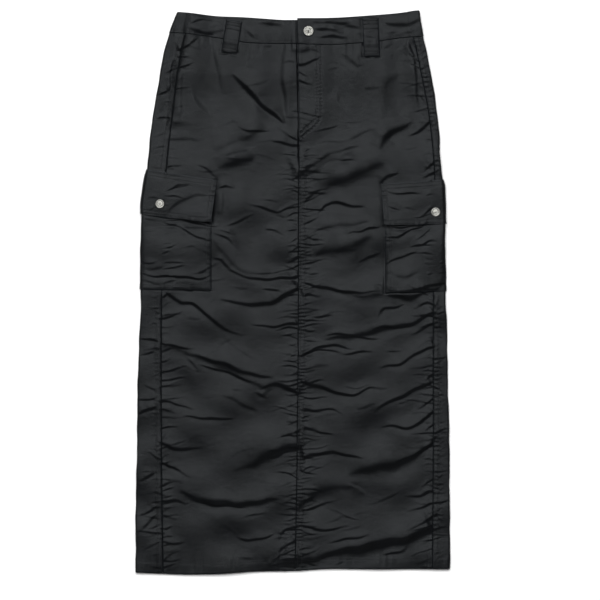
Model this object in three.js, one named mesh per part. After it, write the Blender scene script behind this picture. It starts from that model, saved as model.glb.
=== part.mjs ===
// Long cargo utility skirt laid flat, its front side up.
// Millimetres, +Z up, +Y towards the waist, +X to the right as the front is seen from above.
// The origin is the middle of the skirt's outline, on the surface that it lies on.

import * as THREE from 'three';

// Cloth
const WALL = 1.2; // a panel's thickness
const SEAM_GAP = 0.3; // clearance between neighbouring pieces
const FOLD_RADIUS = 3; // outer radius where a panel turns under at the side
const LAYER = WALL + SEAM_GAP; // what one applied piece adds to the stack

// Waistband, fly and belt loops
const BAND_RAISE = 0.8; // the doubled band stands this much above the panels
const FLY_UNDERLAP = 22; // how far the left front runs under the right one
const FLY_DROP = 2.4; // how far it steps down to do so
const FLY_BOTTOM = 245; // height at which the fly closes
const LOOP_WALL = 1.5;
const LOOP_WIDTH = 27;
const LOOP_STACK = BAND_RAISE + SEAM_GAP + LOOP_WALL; // band and loop under the back panel

// Fastenings
const BUTTON = { x: 26.7, y: 435.2, diameter: 17.5, height: 4.2 };
const SNAP_DIAMETER = 15.5;
const SNAP_HEIGHT = 2.6;

// Lattice: faces along the length, round a side fold and across the underside
const PANEL_ROWS = 42;
const FOLD_STEPS = 6;
const ACROSS_STEPS = 7; // from a side fold to the centre back

// Outline and the seams seen on the front, from the hem up
const SECTIONS = [
  { y: -470, left: -262.5, leftSeam: -215.8, centre: 4.2, rightSeam: 233.2, right: 262.5 },
  { y: -312.8, left: -260.8, leftSeam: -218.3, centre: 7.2, rightSeam: 234.7, right: 262.5 },
  { y: -126.2, left: -257.5, leftSeam: -219.2, centre: 9.2, rightSeam: 235, right: 259.2 },
  { y: 3.8, left: -254.2, leftSeam: -218.3, centre: 9.8, rightSeam: 235.3, right: 256.7 },
  { y: 140.5, left: -254.2, leftSeam: -214.2, centre: 10.2, rightSeam: 236.7, right: 255.8 },
  { y: 202.2, left: -246, leftSeam: -210.8, centre: 10.7, rightSeam: 236.8, right: 252 },
  { y: 293.8, left: -233.3, leftSeam: -200.8, centre: 11.2, rightSeam: 228, right: 242.2 },
  { y: 383.8, left: -217.5, leftSeam: -189.2, centre: 9.2, rightSeam: 210.7, right: 227.3 },
  { y: 427.2, left: -206.7, leftSeam: -180, centre: 8, rightSeam: 200.5, right: 218.3 },
  { y: 469.8, left: -190.8, leftSeam: -167.5, centre: 7.5, rightSeam: 189, right: 211.7 },
];

// Hem, waist seam and top edge across the skirt, seen from the front
const FRONT_EDGES = [
  { x: -262.5, hem: -467, seam: 430.5, top: 467.2 },
  { x: -190.8, hem: -470, seam: 431.5, top: 467.2 },
  { x: -127.5, hem: -469.4, seam: 423.8, top: 460.5 },
  { x: -74.2, hem: -465.8, seam: 415.6, top: 458 },
  { x: -7.5, hem: -464.5, seam: 413.8, top: 453.8 },
  { x: 8.3, hem: -464.2, seam: 413.7, top: 456.7 },
  { x: 59.2, hem: -460.6, seam: 412.3, top: 457.2 },
  { x: 99.2, hem: -461.2, seam: 414.1, top: 459.2 },
  { x: 139.2, hem: -461.2, seam: 417.8, top: 462.2 },
  { x: 179.2, hem: -461.2, seam: 423, top: 465.5 },
  { x: 211.7, hem: -461.2, seam: 425.5, top: 469.8 },
  { x: 262.5, hem: -461.2, seam: 425.5, top: 469.8 },
];
const LEFT_TOP_ENDS = -7.5; // the left band's top edge is level from here on
const RIGHT_TOP_STARTS = 8.3;

// The same edges of the back, which lies underneath and is nowhere longer than the front
const BACK_EDGES = [
  { x: -262.5, hem: -467, seam: 430.5, top: 467.2 },
  { x: -190.8, hem: -466, seam: 430.5, top: 466 },
  { x: -100, hem: -464, seam: 419, top: 456 },
  { x: 0, hem: -461, seam: 413, top: 451 },
  { x: 100, hem: -459, seam: 417, top: 456 },
  { x: 211.7, hem: -460, seam: 425.5, top: 468.5 },
  { x: 262.5, hem: -461.2, seam: 425.5, top: 469.8 },
];

// Side pockets and their flaps, each wrapped round a side fold. Distances from the centre line
// are measured along the cloth, and the lines slope by this much of each further millimetre.
const POCKETS = {
  left: {
    side: -1,
    front: 135,
    width: 171,
    bottom: { at: 3, slope: 0.012 },
    flapFront: { top: 126.3, bottom: 135.8 },
    flapWidth: 178,
    flapTop: { at: 186.3, slope: 0.148 },
    flapBottom: { at: 116.5, slope: 0.115 },
    lift: 2.6,
    snap: { x: -220.7, y: 147.2 },
  },
  right: {
    side: 1,
    front: 154.7,
    width: 171,
    bottom: { at: -1.2, slope: 0.03 },
    flapFront: { top: 148, bottom: 152.7 },
    flapWidth: 178,
    flapTop: { at: 180.5, slope: 0.0725 },
    flapBottom: { at: 111.3, slope: 0.026 },
    lift: 0.8,
    snap: { x: 238.3, y: 133.7 },
  },
};
const POCKET_TOP_TUCK = 14; // a pocket's top edge lies this far below the top of its flap
const POCKET_PUFF = 3.2;
const POCKET_CREASE = { y: 27, width: 16 }; // the crossing crease that presses the puff down

// Belt loops by the middles of their two ends, two at the front and three at the back
const FRONT_LOOPS = {
  left: { topX: -96.8, topY: 452.8, bottomX: -105.8, bottomY: 398.8 },
  right: { topX: 129.8, topY: 457, bottomX: 132.5, bottomY: 393 },
};
const BACK_LOOPS = { left: -144, centre: 0, right: 144 };
const BACK_LOOP_ENDS = { topY: 447, bottomY: 394 };

// Heights between which the stack under and over the sides holds pocket, flap or loop
const STACK_ZONES = {
  pocket: { from: -22, to: 224 },
  flap: { from: 96, to: 224 },
  loops: { from: 372, to: 1000 },
};
const ZONE_RAMP = 50;
const SIDE_RAMP = { from: 56, to: 106 };

// Largest folds: a ridge beside a trough, along a line bowed sideways at its middle
const FOLDS = [
  { x0: -94, y0: 359, x1: -19, y1: 286, bow: 0, height: 3.4, width: 24 },
  { x0: -165, y0: 262, x1: -20, y1: 236, bow: -14, height: 2.6, width: 36 },
  { x0: -124, y0: 27, x1: 22, y1: 33, bow: -3, height: 4.2, width: 30 },
  { x0: -108, y0: -18, x1: 22, y1: -6, bow: -8, height: 3.6, width: 28 },
  { x0: -206, y0: -8, x1: -76, y1: -75, bow: 3, height: 3.6, width: 30 },
  { x0: -158, y0: -106, x1: 6, y1: -166, bow: 6, height: 3.4, width: 28 },
  { x0: -160, y0: -210, x1: -60, y1: -216, bow: -6, height: 2.8, width: 28 },
  { x0: -188, y0: -335, x1: -24, y1: -350, bow: -14, height: 4, width: 32 },
  { x0: 26, y0: 212, x1: 138, y1: 269, bow: -6, height: 4.2, width: 30 },
  { x0: 150, y0: 249, x1: 200, y1: 286, bow: 4, height: 2.8, width: 24 },
  { x0: 26, y0: 6, x1: 152, y1: -2, bow: -3, height: 4, width: 30 },
  { x0: 50, y0: -70, x1: 228, y1: -40, bow: -16, height: 3.6, width: 28 },
  { x0: 18, y0: -150, x1: 168, y1: -158, bow: -18, height: 3.6, width: 28 },
  { x0: 130, y0: -210, x1: 226, y1: -156, bow: -6, height: 3.4, width: 26 },
  { x0: 90, y0: -296, x1: 206, y1: -290, bow: -6, height: 3.2, width: 30 },
  { x0: 30, y0: -443, x1: 234, y1: -376, bow: -14, height: 4, width: 32 },
];
const DEEPEST_TROUGH = 2.4;

// Where the folds fade out, beside the pockets, the side turns and the waist
const FOLD_FADE = {
  leftPocket: { reach: 92, width: 22 },
  rightPocket: { reach: 112, width: 22 },
  pocketHeights: { from: -18, to: 214 },
  turn: { none: 10, full: 34 },
  waist: { from: 340, to: 372 },
};

const CLOTH = new THREE.MeshStandardMaterial({ color: '#292c2e', roughness: 0.62, metalness: 0 });
const METAL = new THREE.MeshStandardMaterial({ color: '#b4b6b8', roughness: 0.34, metalness: 1 });

const { clamp, lerp, smoothstep } = THREE.MathUtils;

// Smooth value of a table's column, a cubic through its rows
function lookUp(table, key, column, at) {
  const last = table.length - 1;
  const place = clamp(at, table[0][key], table[last][key]);
  let row = 0;
  while (row < last - 1 && table[row + 1][key] < place) row += 1;
  const slopeAt = (i) => {
    const before = table[Math.max(i - 1, 0)];
    const after = table[Math.min(i + 1, last)];
    return (after[column] - before[column]) / (after[key] - before[key]);
  };
  const span = table[row + 1][key] - table[row][key];
  const t = (place - table[row][key]) / span;
  const startWeight = (1 + 2 * t) * (1 - t) ** 2;
  const endWeight = t * t * (3 - 2 * t);
  const startTurn = t * (1 - t) ** 2 * span * slopeAt(row);
  const endTurn = t * t * (1 - t) * span * slopeAt(row + 1);
  return startWeight * table[row][column] + endWeight * table[row + 1][column] + startTurn - endTurn;
}

const section = (column, y) => lookUp(SECTIONS, 'y', column, y);
const sideSeam = (side, y) => Math.abs(section(side < 0 ? 'leftSeam' : 'rightSeam', y));
const bell = (t) => (Math.abs(t) < 1 ? (1 - t * t) ** 2 : 0);

// One inside a zone of heights, falling to nothing over the ramp on each side
function inZone(y, zone) {
  const above = smoothstep(y, zone.from - ZONE_RAMP, zone.from);
  return above * (1 - smoothstep(y, zone.to, zone.to + ZONE_RAMP));
}

const sideLayers = (y) => LAYER * (inZone(y, STACK_ZONES.pocket) + inZone(y, STACK_ZONES.flap));

// Thickness of the applied pieces that lie between the back panels and the surface
function stackUnder(x, y) {
  const beside = smoothstep(Math.abs(x), SIDE_RAMP.from, SIDE_RAMP.to);
  return beside * sideLayers(y) + LOOP_STACK * inZone(y, STACK_ZONES.loops);
}

// Where a panel's flat stretch ends and its turn round the side begins
function flatEnd(side, y) {
  const outline = Math.abs(section(side < 0 ? 'left' : 'right', y));
  return outline - sideLayers(y) - FOLD_RADIUS;
}

const TURN = Math.PI * FOLD_RADIUS; // cloth taken up by the turn

// Folds fade out under applied pieces, at the waist and beside the side turns
function foldMask(x, y) {
  const side = x < 0 ? -1 : 1;
  const { reach, width } = side < 0 ? FOLD_FADE.leftPocket : FOLD_FADE.rightPocket;
  const atPocket = smoothstep(Math.abs(x), reach, reach + width) * inZone(y, FOLD_FADE.pocketHeights);
  const toTurn = flatEnd(side, y) - Math.abs(x);
  const offTurn = smoothstep(toTurn, FOLD_FADE.turn.none, FOLD_FADE.turn.full);
  const atWaist = smoothstep(y, FOLD_FADE.waist.from, FOLD_FADE.waist.to);
  return (1 - atPocket) * offTurn * (1 - atWaist);
}

function foldHeight(fold, x, y) {
  const alongX = fold.x1 - fold.x0;
  const alongY = fold.y1 - fold.y0;
  const length = Math.hypot(alongX, alongY);
  const t = ((x - fold.x0) * alongX + (y - fold.y0) * alongY) / length ** 2;
  if (t <= 0 || t >= 1) return 0;
  const hump = 4 * t * (1 - t);
  const aside = ((y - fold.y0) * alongX - (x - fold.x0) * alongY) / length - fold.bow * hump;
  const q = aside / fold.width;
  return fold.height * Math.sqrt(hump) * (bell((q - 0.5) / 0.7) - 0.45 * bell((q + 0.25) / 0.5));
}

// Height of the front panels' outer face
function frontHeight(x, y) {
  const creases = FOLDS.reduce((sum, fold) => sum + foldHeight(fold, x, y), 0);
  const relief = Math.max(creases * foldMask(x, y), -DEEPEST_TROUGH);
  return 2 * FOLD_RADIUS + stackUnder(x, y) + relief;
}

const onFront = (x, y, offset) => [x, y, frontHeight(x, y) + offset];
const onBack = (x, y, offset) => [x, y, stackUnder(x, y) - offset];

// A point on one half of the skirt, by its distance round the cloth from the centre front line
function onSkirt(side, around, y, offset) {
  const flat = flatEnd(side, y);
  if (around <= flat) return onFront(side * around, y, offset);
  if (around >= flat + TURN) return onBack(side * (2 * flat + TURN - around), y, offset);
  const angle = (around - flat) / FOLD_RADIUS;
  const radius = FOLD_RADIUS + offset;
  const rise = stackUnder(side * flat, y) + FOLD_RADIUS + radius * Math.cos(angle);
  return [side * (flat + radius * Math.sin(angle)), y, rise];
}

// Edge heights at a distance round the cloth: front edges as far as the outline, then the back's
function edgeHeight(column, side, around, y) {
  const flat = flatEnd(side, y);
  const onFrontSide = around <= flat + TURN / 2;
  const x = onFrontSide ? Math.min(around, flat) : Math.min(2 * flat + TURN - around, flat);
  return lookUp(onFrontSide ? FRONT_EDGES : BACK_EDGES, 'x', column, side * x);
}

// Closed wall from two grids of points, an outer and an inner face joined round their rims
function wallMesh(name, columns, rows, pointAt) {
  const positions = [];
  const faces = [];
  for (const face of ['outer', 'inner']) {
    for (let i = 0; i <= columns; i += 1) {
      for (let j = 0; j <= rows; j += 1) positions.push(...pointAt(i, j, face));
    }
  }
  const inner = (columns + 1) * (rows + 1);
  const at = (i, j) => i * (rows + 1) + j;
  for (let i = 0; i < columns; i += 1) {
    for (let j = 0; j < rows; j += 1) {
      const [a, b, c, d] = [at(i, j), at(i + 1, j), at(i + 1, j + 1), at(i, j + 1)];
      faces.push(a, b, c, a, c, d);
      faces.push(inner + a, inner + c, inner + b, inner + a, inner + d, inner + c);
    }
  }
  const rim = [];
  for (let i = 0; i < columns; i += 1) rim.push(at(i, 0));
  for (let j = 0; j < rows; j += 1) rim.push(at(columns, j));
  for (let i = columns; i > 0; i -= 1) rim.push(at(i, rows));
  for (let j = rows; j > 0; j -= 1) rim.push(at(0, j));
  rim.forEach((a, k) => {
    const b = rim[(k + 1) % rim.length];
    faces.push(a, inner + a, b, b, inner + a, inner + b);
  });
  return meshOf(name, positions, facingOut(positions, faces), CLOTH);
}

// Triangles turned over where they enclose a negative volume
function facingOut(positions, faces) {
  const point = (i) => new THREE.Vector3().fromArray(positions, 3 * i);
  let volume = 0;
  for (let k = 0; k < faces.length; k += 3) {
    volume += point(faces[k]).dot(point(faces[k + 1]).cross(point(faces[k + 2])));
  }
  if (volume > 0) return faces;
  const turned = [];
  for (let k = 0; k < faces.length; k += 3) turned.push(faces[k], faces[k + 2], faces[k + 1]);
  return turned;
}

function meshOf(name, positions, faces, material) {
  const geometry = new THREE.BufferGeometry();
  geometry.setAttribute('position', new THREE.Float32BufferAttribute(positions, 3));
  geometry.setIndex(faces);
  geometry.computeVertexNormals();
  const mesh = new THREE.Mesh(geometry, material);
  mesh.name = name;
  return mesh;
}

// The step down is complete a little below the fly, and the underlap starts a little above
const isStep = (y) => smoothstep(y, FLY_BOTTOM - 40, FLY_BOTTOM - 10);
const isFly = (y) => smoothstep(y, FLY_BOTTOM, FLY_BOTTOM + 20);

// The left pieces step down beside the centre line, to run under the right ones
function flyDrop(x, y) {
  return FLY_DROP * smoothstep(x - section('centre', y), -10, -1) * isStep(y);
}

function onLeftFront(x, y, offset) {
  const [px, py, pz] = onFront(x, y, offset);
  return [px, py, pz - flyDrop(x, y)];
}

// Column positions of the left front pieces, from the side seam to the fly's hidden edge
function leftFrontColumns(y) {
  const centre = section('centre', y);
  const seam = -sideSeam(-1, y) + SEAM_GAP / 2;
  const stepStart = centre - lerp(16, 10, isStep(y));
  const columns = [];
  for (let i = 0; i <= 9; i += 1) columns.push(lerp(seam, stepStart, i / 9));
  columns.push(centre - lerp(7, 1, isStep(y)));
  columns.push(centre - SEAM_GAP / 2 + FLY_UNDERLAP * isFly(y));
  return columns;
}

function rightFrontColumns(y) {
  const start = section('centre', y) + SEAM_GAP / 2;
  const end = sideSeam(1, y) - SEAM_GAP / 2;
  const columns = [];
  for (let i = 0; i <= 11; i += 1) columns.push(lerp(start, end, i / 11));
  return columns;
}

// Distances round the cloth of one back panel's columns, from its side seam to the centre back
function backColumns(side, y) {
  const flat = flatEnd(side, y);
  const seam = sideSeam(side, y) + SEAM_GAP / 2;
  const columns = [seam, (seam + flat) / 2];
  for (let k = 0; k < FOLD_STEPS; k += 1) columns.push(flat + (TURN * k) / FOLD_STEPS);
  const end = 2 * flat + TURN - SEAM_GAP / 2;
  for (let k = 0; k <= ACROSS_STEPS; k += 1) columns.push(lerp(flat + TURN, end, k / ACROSS_STEPS));
  return columns;
}

const HEM_LEVEL = -465; // where a column's place is read to find its hem height
const WAIST_LEVEL = 420; // and its waist seam height

function frontPanel(name, columnsAt, surface) {
  const hemColumns = columnsAt(HEM_LEVEL);
  const waistColumns = columnsAt(WAIST_LEVEL);
  return wallMesh(name, hemColumns.length - 1, PANEL_ROWS, (i, j, face) => {
    const hem = lookUp(FRONT_EDGES, 'x', 'hem', hemColumns[i]);
    const seam = lookUp(FRONT_EDGES, 'x', 'seam', waistColumns[i]) - SEAM_GAP / 2;
    const y = lerp(hem, seam, j / PANEL_ROWS);
    return surface(columnsAt(y)[i], y, face === 'outer' ? 0 : -WALL);
  });
}

function backPanel(name, side) {
  const columnsAt = (y) => backColumns(side, y);
  const hemColumns = columnsAt(HEM_LEVEL);
  const waistColumns = columnsAt(WAIST_LEVEL);
  return wallMesh(name, hemColumns.length - 1, PANEL_ROWS, (i, j, face) => {
    const hem = edgeHeight('hem', side, hemColumns[i], HEM_LEVEL);
    const seam = edgeHeight('seam', side, waistColumns[i], WAIST_LEVEL) - SEAM_GAP / 2;
    const y = lerp(hem, seam, j / PANEL_ROWS);
    return onSkirt(side, columnsAt(y)[i], y, face === 'outer' ? 0 : -WALL);
  });
}

const TOP_LEVEL = 460; // where a column's place is read to find the band's top edge
const BAND_ROWS = 2;
const bandOffset = (face) => (face === 'outer' ? BAND_RAISE : -WALL);

function frontBand(name, columnsAt, surface, topColumn) {
  const waistColumns = columnsAt(WAIST_LEVEL);
  const topColumns = columnsAt(TOP_LEVEL);
  return wallMesh(name, topColumns.length - 1, BAND_ROWS, (i, j, face) => {
    const seam = lookUp(FRONT_EDGES, 'x', 'seam', waistColumns[i]) + SEAM_GAP / 2;
    const top = lookUp(FRONT_EDGES, 'x', 'top', topColumn(topColumns[i]));
    const y = lerp(seam, top, j / BAND_ROWS);
    return surface(columnsAt(y)[i], y, bandOffset(face));
  });
}

// The back of the waistband in one piece, from the left side seam round to the right one
function backBand(name) {
  const half = (side, y) => backColumns(side, y).map((around) => ({ side, around }));
  const columnsAt = (y) => {
    const left = half(-1, y).slice(0, -1);
    const right = half(1, y).slice(0, -1).reverse();
    const middle = { side: -1, around: 2 * flatEnd(-1, y) + TURN };
    return [...left, middle, ...right];
  };
  const waistColumns = columnsAt(WAIST_LEVEL);
  const topColumns = columnsAt(TOP_LEVEL);
  return wallMesh(name, topColumns.length - 1, BAND_ROWS, (i, j, face) => {
    const { side } = topColumns[i];
    const seam = edgeHeight('seam', side, waistColumns[i].around, WAIST_LEVEL) + SEAM_GAP / 2;
    const top = edgeHeight('top', side, topColumns[i].around, TOP_LEVEL);
    const y = lerp(seam, top, j / BAND_ROWS);
    return onSkirt(side, columnsAt(y)[i].around, y, bandOffset(face));
  });
}

// Distances round the cloth of an applied piece's columns, over the front, the turn and the back
function wrapColumns(side, from, to, y, frontSteps) {
  const flat = flatEnd(side, y);
  const columns = [];
  for (let k = 0; k < frontSteps; k += 1) columns.push(lerp(from, flat, k / frontSteps));
  for (let k = 0; k <= FOLD_STEPS; k += 1) columns.push(flat + (TURN * k) / FOLD_STEPS);
  columns.push((flat + TURN + to) / 2, to);
  return columns;
}

const sloped = (line, from, around) => line.at + line.slope * (around - from);

// How far the pocket cloth stands off its panel, over the front only and clear of the flap
function pocketPuff(pocket, around, y) {
  const across = (around - pocket.front) / (flatEnd(pocket.side, y) - pocket.front);
  const up = (y - pocket.bottom.at) / (pocket.flapBottom.at - 8 - pocket.bottom.at);
  if (across <= 0 || across >= 1 || up <= 0 || up >= 1) return 0;
  const crease = 1 - 0.75 * bell((y - POCKET_CREASE.y) / POCKET_CREASE.width);
  return POCKET_PUFF * crease * Math.sqrt(Math.sin(Math.PI * across) * Math.sin(Math.PI * up));
}

function pocketPanel(name, pocket) {
  const rows = 12;
  const columnsAt = (y) => wrapColumns(pocket.side, pocket.front, pocket.front + pocket.width, y, 5);
  const columns = columnsAt(pocket.bottom.at);
  return wallMesh(name, columns.length - 1, rows, (i, j, face) => {
    const bottom = sloped(pocket.bottom, pocket.front, columns[i]);
    const top = sloped(pocket.flapTop, pocket.flapFront.top, columns[i]) - POCKET_TOP_TUCK;
    const y = lerp(bottom, top, j / rows);
    const around = columnsAt(y)[i];
    const offset = (face === 'outer' ? LAYER : SEAM_GAP) + pocketPuff(pocket, around, y);
    return onSkirt(pocket.side, around, y, offset);
  });
}

// A flap lies over its pocket's top, comes down to the panel above it, and lifts at one corner
function flapPanel(name, pocket) {
  const rows = 6;
  const frontAt = (t) => lerp(pocket.flapFront.bottom, pocket.flapFront.top, t);
  const columnsAt = (y, t) => wrapColumns(pocket.side, frontAt(t), frontAt(t) + pocket.flapWidth, y, 5);
  const middle = (pocket.flapBottom.at + pocket.flapTop.at) / 2;
  const columns = columnsAt(middle, 0.5);
  return wallMesh(name, columns.length - 1, rows, (i, j, face) => {
    const t = j / rows;
    const bottom = sloped(pocket.flapBottom, pocket.flapFront.bottom, columns[i]);
    const top = sloped(pocket.flapTop, pocket.flapFront.top, columns[i]);
    const y = lerp(bottom, top, t);
    const around = columnsAt(y, t)[i];
    const onPocket = 1 - smoothstep(y, top - POCKET_TOP_TUCK + 1, top);
    const across = (around - frontAt(t)) / (flatEnd(pocket.side, y) - frontAt(t));
    const lift = pocket.lift * (1 - smoothstep(across, 0, 0.6)) * (1 - smoothstep(t, 0, 0.8));
    const offset = SEAM_GAP + LAYER * onPocket + lift;
    return onSkirt(pocket.side, around, y, face === 'outer' ? offset + WALL : offset);
  });
}

// A belt loop lies on the waistband and steps down to the panel below it
function beltLoop(name, ends, surface, seamY) {
  const alongX = ends.topX - ends.bottomX;
  const alongY = ends.topY - ends.bottomY;
  const length = Math.hypot(alongX, alongY);
  const bandStart = (seamY - 3 - ends.bottomY) / alongY; // the band is cleared from here up
  const panelEnd = bandStart - 8 / length;
  const rows = [
    { t: 0, offset: SEAM_GAP },
    { t: panelEnd, offset: SEAM_GAP },
    { t: bandStart, offset: BAND_RAISE + SEAM_GAP },
    { t: (1 + bandStart) / 2, offset: BAND_RAISE + SEAM_GAP },
    { t: 1, offset: BAND_RAISE + SEAM_GAP },
  ];
  return wallMesh(name, 2, rows.length - 1, (i, j, face) => {
    const { t, offset } = rows[j];
    const aside = LOOP_WIDTH * (i / 2 - 0.5);
    const x = ends.bottomX + alongX * t + (aside * alongY) / length;
    const y = ends.bottomY + alongY * t - (aside * alongX) / length;
    return surface(x, y, face === 'outer' ? offset + LOOP_WALL : offset);
  });
}

// A turned cap from its half profile, as fractions of its radius and height
function turnedCap(name, profile, diameter, height, place) {
  const points = profile.map(([r, h]) => new THREE.Vector2((r * diameter) / 2, h * height));
  const geometry = new THREE.LatheGeometry(points, 24);
  geometry.rotateX(Math.PI / 2);
  const mesh = new THREE.Mesh(geometry, METAL);
  mesh.name = name;
  mesh.position.set(...place);
  return mesh;
}

const BUTTON_PROFILE = [
  [0, 0],
  [0.62, 0],
  [0.62, 0.3],
  [0.97, 0.36],
  [1, 0.55],
  [0.95, 0.92],
  [0.86, 1],
  [0.76, 0.86],
  [0, 0.94],
];
const SNAP_PROFILE = [
  [0, 0],
  [0.9, 0],
  [1, 0.3],
  [0.94, 0.8],
  [0.8, 1],
  [0.66, 0.84],
  [0, 0.96],
];

function build() {
  const skirt = new THREE.Group();
  const same = (x) => x;
  skirt.add(
    frontPanel('front_left', leftFrontColumns, onLeftFront),
    frontPanel('front_right', rightFrontColumns, onFront),
    backPanel('back_left', -1),
    backPanel('back_right', 1),
    frontBand('waistband_front_left', leftFrontColumns, onLeftFront, (x) => Math.min(x, LEFT_TOP_ENDS)),
    frontBand('waistband_front_right', rightFrontColumns, onFront, (x) => Math.max(x, RIGHT_TOP_STARTS)),
    backBand('waistband_back'),
  );
  for (const [which, pocket] of Object.entries(POCKETS)) {
    const { x, y } = pocket.snap;
    const flapTopFace = frontHeight(x, y) + 2 * LAYER + SEAM_GAP;
    skirt.add(
      pocketPanel(`pocket_${which}`, pocket),
      flapPanel(`flap_${which}`, pocket),
      turnedCap(`snap_${which}`, SNAP_PROFILE, SNAP_DIAMETER, SNAP_HEIGHT, [x, y, flapTopFace]),
    );
  }
  for (const [which, ends] of Object.entries(FRONT_LOOPS)) {
    const seamY = lookUp(FRONT_EDGES, 'x', 'seam', ends.bottomX);
    skirt.add(beltLoop(`loop_front_${which}`, ends, onFront, seamY));
  }
  for (const [which, x] of Object.entries(BACK_LOOPS)) {
    const ends = { topX: x, bottomX: x, ...BACK_LOOP_ENDS };
    const seamY = lookUp(BACK_EDGES, 'x', 'seam', x);
    skirt.add(beltLoop(`loop_back_${which}`, ends, onBack, seamY));
  }
  const bandFace = frontHeight(BUTTON.x, BUTTON.y) + BAND_RAISE + SEAM_GAP;
  const { x, y, diameter, height } = BUTTON;
  skirt.add(turnedCap('button_waist', BUTTON_PROFILE, diameter, height, [x, y, bandFace]));
  return skirt;
}

export default build();
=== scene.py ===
# Long cargo utility skirt in charcoal black nylon, laid flat with its front up.
# Sizes in tables are millimetres, meshes are metres, and +Y runs from the hem to the waist.

import math

import bpy
import numpy as np
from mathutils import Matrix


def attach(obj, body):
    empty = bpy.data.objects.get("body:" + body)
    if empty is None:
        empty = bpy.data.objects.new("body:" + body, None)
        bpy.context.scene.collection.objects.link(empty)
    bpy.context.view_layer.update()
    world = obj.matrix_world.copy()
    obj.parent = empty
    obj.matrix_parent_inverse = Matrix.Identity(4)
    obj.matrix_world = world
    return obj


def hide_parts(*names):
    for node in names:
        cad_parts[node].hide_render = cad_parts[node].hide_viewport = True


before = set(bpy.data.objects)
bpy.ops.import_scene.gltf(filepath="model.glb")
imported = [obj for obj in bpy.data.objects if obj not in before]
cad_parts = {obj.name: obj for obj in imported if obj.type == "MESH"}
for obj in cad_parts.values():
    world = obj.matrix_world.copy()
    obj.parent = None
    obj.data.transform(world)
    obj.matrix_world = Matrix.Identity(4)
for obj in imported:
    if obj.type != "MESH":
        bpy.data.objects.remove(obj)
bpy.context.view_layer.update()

MM = 0.001

# Cloth, as in the solids
SEAM_GAP = 0.3
FOLD_RADIUS = 3
LAYER = 1.5
CLOTH = 0.9  # the shell's thickness; its two faces stay clear of the wall below
TURN = math.pi * FOLD_RADIUS
BAND_RAISE = 0.8
FLY_UNDERLAP = 22
FLY_DROP = 2.4
FLY_BOTTOM = 245
SHALLOWEST = 1.6  # no trough of the front is deeper, so that it clears the back
TALLEST = 12
MEAN_RISE = 1.6  # how high the front's cloth stands on average above where it would lie flat

# Outline and the seams seen on the front, from the hem up
SECTIONS = {
    "y": [-470, -312.8, -126.2, 3.8, 140.5, 202.2, 293.8, 383.8, 427.2, 469.8],
    "left": [-262.5, -260.8, -257.5, -254.2, -254.2, -246, -233.3, -217.5, -206.7, -190.8],
    "left_seam": [-215.8, -218.3, -219.2, -218.3, -214.2, -210.8, -200.8, -189.2, -180, -167.5],
    "centre": [4.2, 7.2, 9.2, 9.8, 10.2, 10.7, 11.2, 9.2, 8, 7.5],
    "right_seam": [233.2, 234.7, 235, 235.3, 236.7, 236.8, 228, 210.7, 200.5, 189],
    "right": [262.5, 262.5, 259.2, 256.7, 255.8, 252, 242.2, 227.3, 218.3, 211.7],
}
FRONT_EDGES = {
    "x": [-262.5, -190.8, -127.5, -74.2, -7.5, 8.3, 59.2, 99.2, 139.2, 179.2, 211.7, 262.5],
    "hem": [-467, -470, -469.4, -465.8, -464.5, -464.2, -460.6, -461.2, -461.2, -461.2, -461.2, -461.2],
    "seam": [430.5, 431.5, 423.8, 415.6, 413.8, 413.7, 412.3, 414.1, 417.8, 423, 425.5, 425.5],
    "top": [467.2, 467.2, 460.5, 458, 453.8, 456.7, 457.2, 459.2, 462.2, 465.5, 469.8, 469.8],
}
BACK_EDGES = {
    "x": [-262.5, -190.8, -100, 0, 100, 211.7, 262.5],
    "hem": [-467, -466, -464, -461, -459, -460, -461.2],
    "seam": [430.5, 430.5, 419, 413, 417, 425.5, 425.5],
    "top": [467.2, 466, 456, 451, 456, 468.5, 469.8],
}
LEFT_TOP_ENDS = -7.5
RIGHT_TOP_STARTS = 8.3
HEM_LEVEL = -465
WAIST_LEVEL = 420
TOP_LEVEL = 460

# Side pockets and their flaps, wrapped round the side folds
POCKETS = {
    "left": {
        "side": -1, "front": 135, "width": 171, "bottom": (3, 0.012),
        "flap_front": (135.8, 126.3), "flap_width": 178,
        "flap_top": (186.3, 0.148), "flap_bottom": (116.5, 0.115),
        "lift": 5.5, "snap": (-220.7, 147.2),
    },
    "right": {
        "side": 1, "front": 154.7, "width": 171, "bottom": (-1.2, 0.03),
        "flap_front": (152.7, 148), "flap_width": 178,
        "flap_top": (180.5, 0.0725), "flap_bottom": (111.3, 0.026),
        "lift": 4, "snap": (238.3, 133.7),
    },
}
POCKET_TOP_TUCK = 14
POCKET_PUFF = 3.2
FLAP_CLOTH = 1.5

FRONT_LOOPS = {"left": (-96.8, 452.8, -105.8, 398.8), "right": (129.8, 457, 132.5, 393)}
BACK_LOOPS = {"left": -144, "centre": 0, "right": 144}
BACK_LOOP_ENDS = (447, 394)
LOOP_WIDTH = 27
LOOP_CLOTH = 1.5
LOOP_STACK = BAND_RAISE + SEAM_GAP + LOOP_CLOTH
BUTTON = {"x": 26.7, "y": 435.2, "diameter": 17.5, "height": 4.2}
SNAP = {"diameter": 15.5, "height": 2.6}

# Kinds of crease: its height, the width of its steep side, and how far its gentle sides run
FINE = (1.6, 2.3, 12)
SOFT = (2.8, 9, 28)
FIRM = (3.3, 3, 22)
TUCK = (5, 3, 17)
DEEP = (5, 4.4, 32)
HOLLOW = (7.2, 8, 46)
FACET = (5.6, 17, 46)
BROAD = (7.5, 28, 64)

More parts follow.
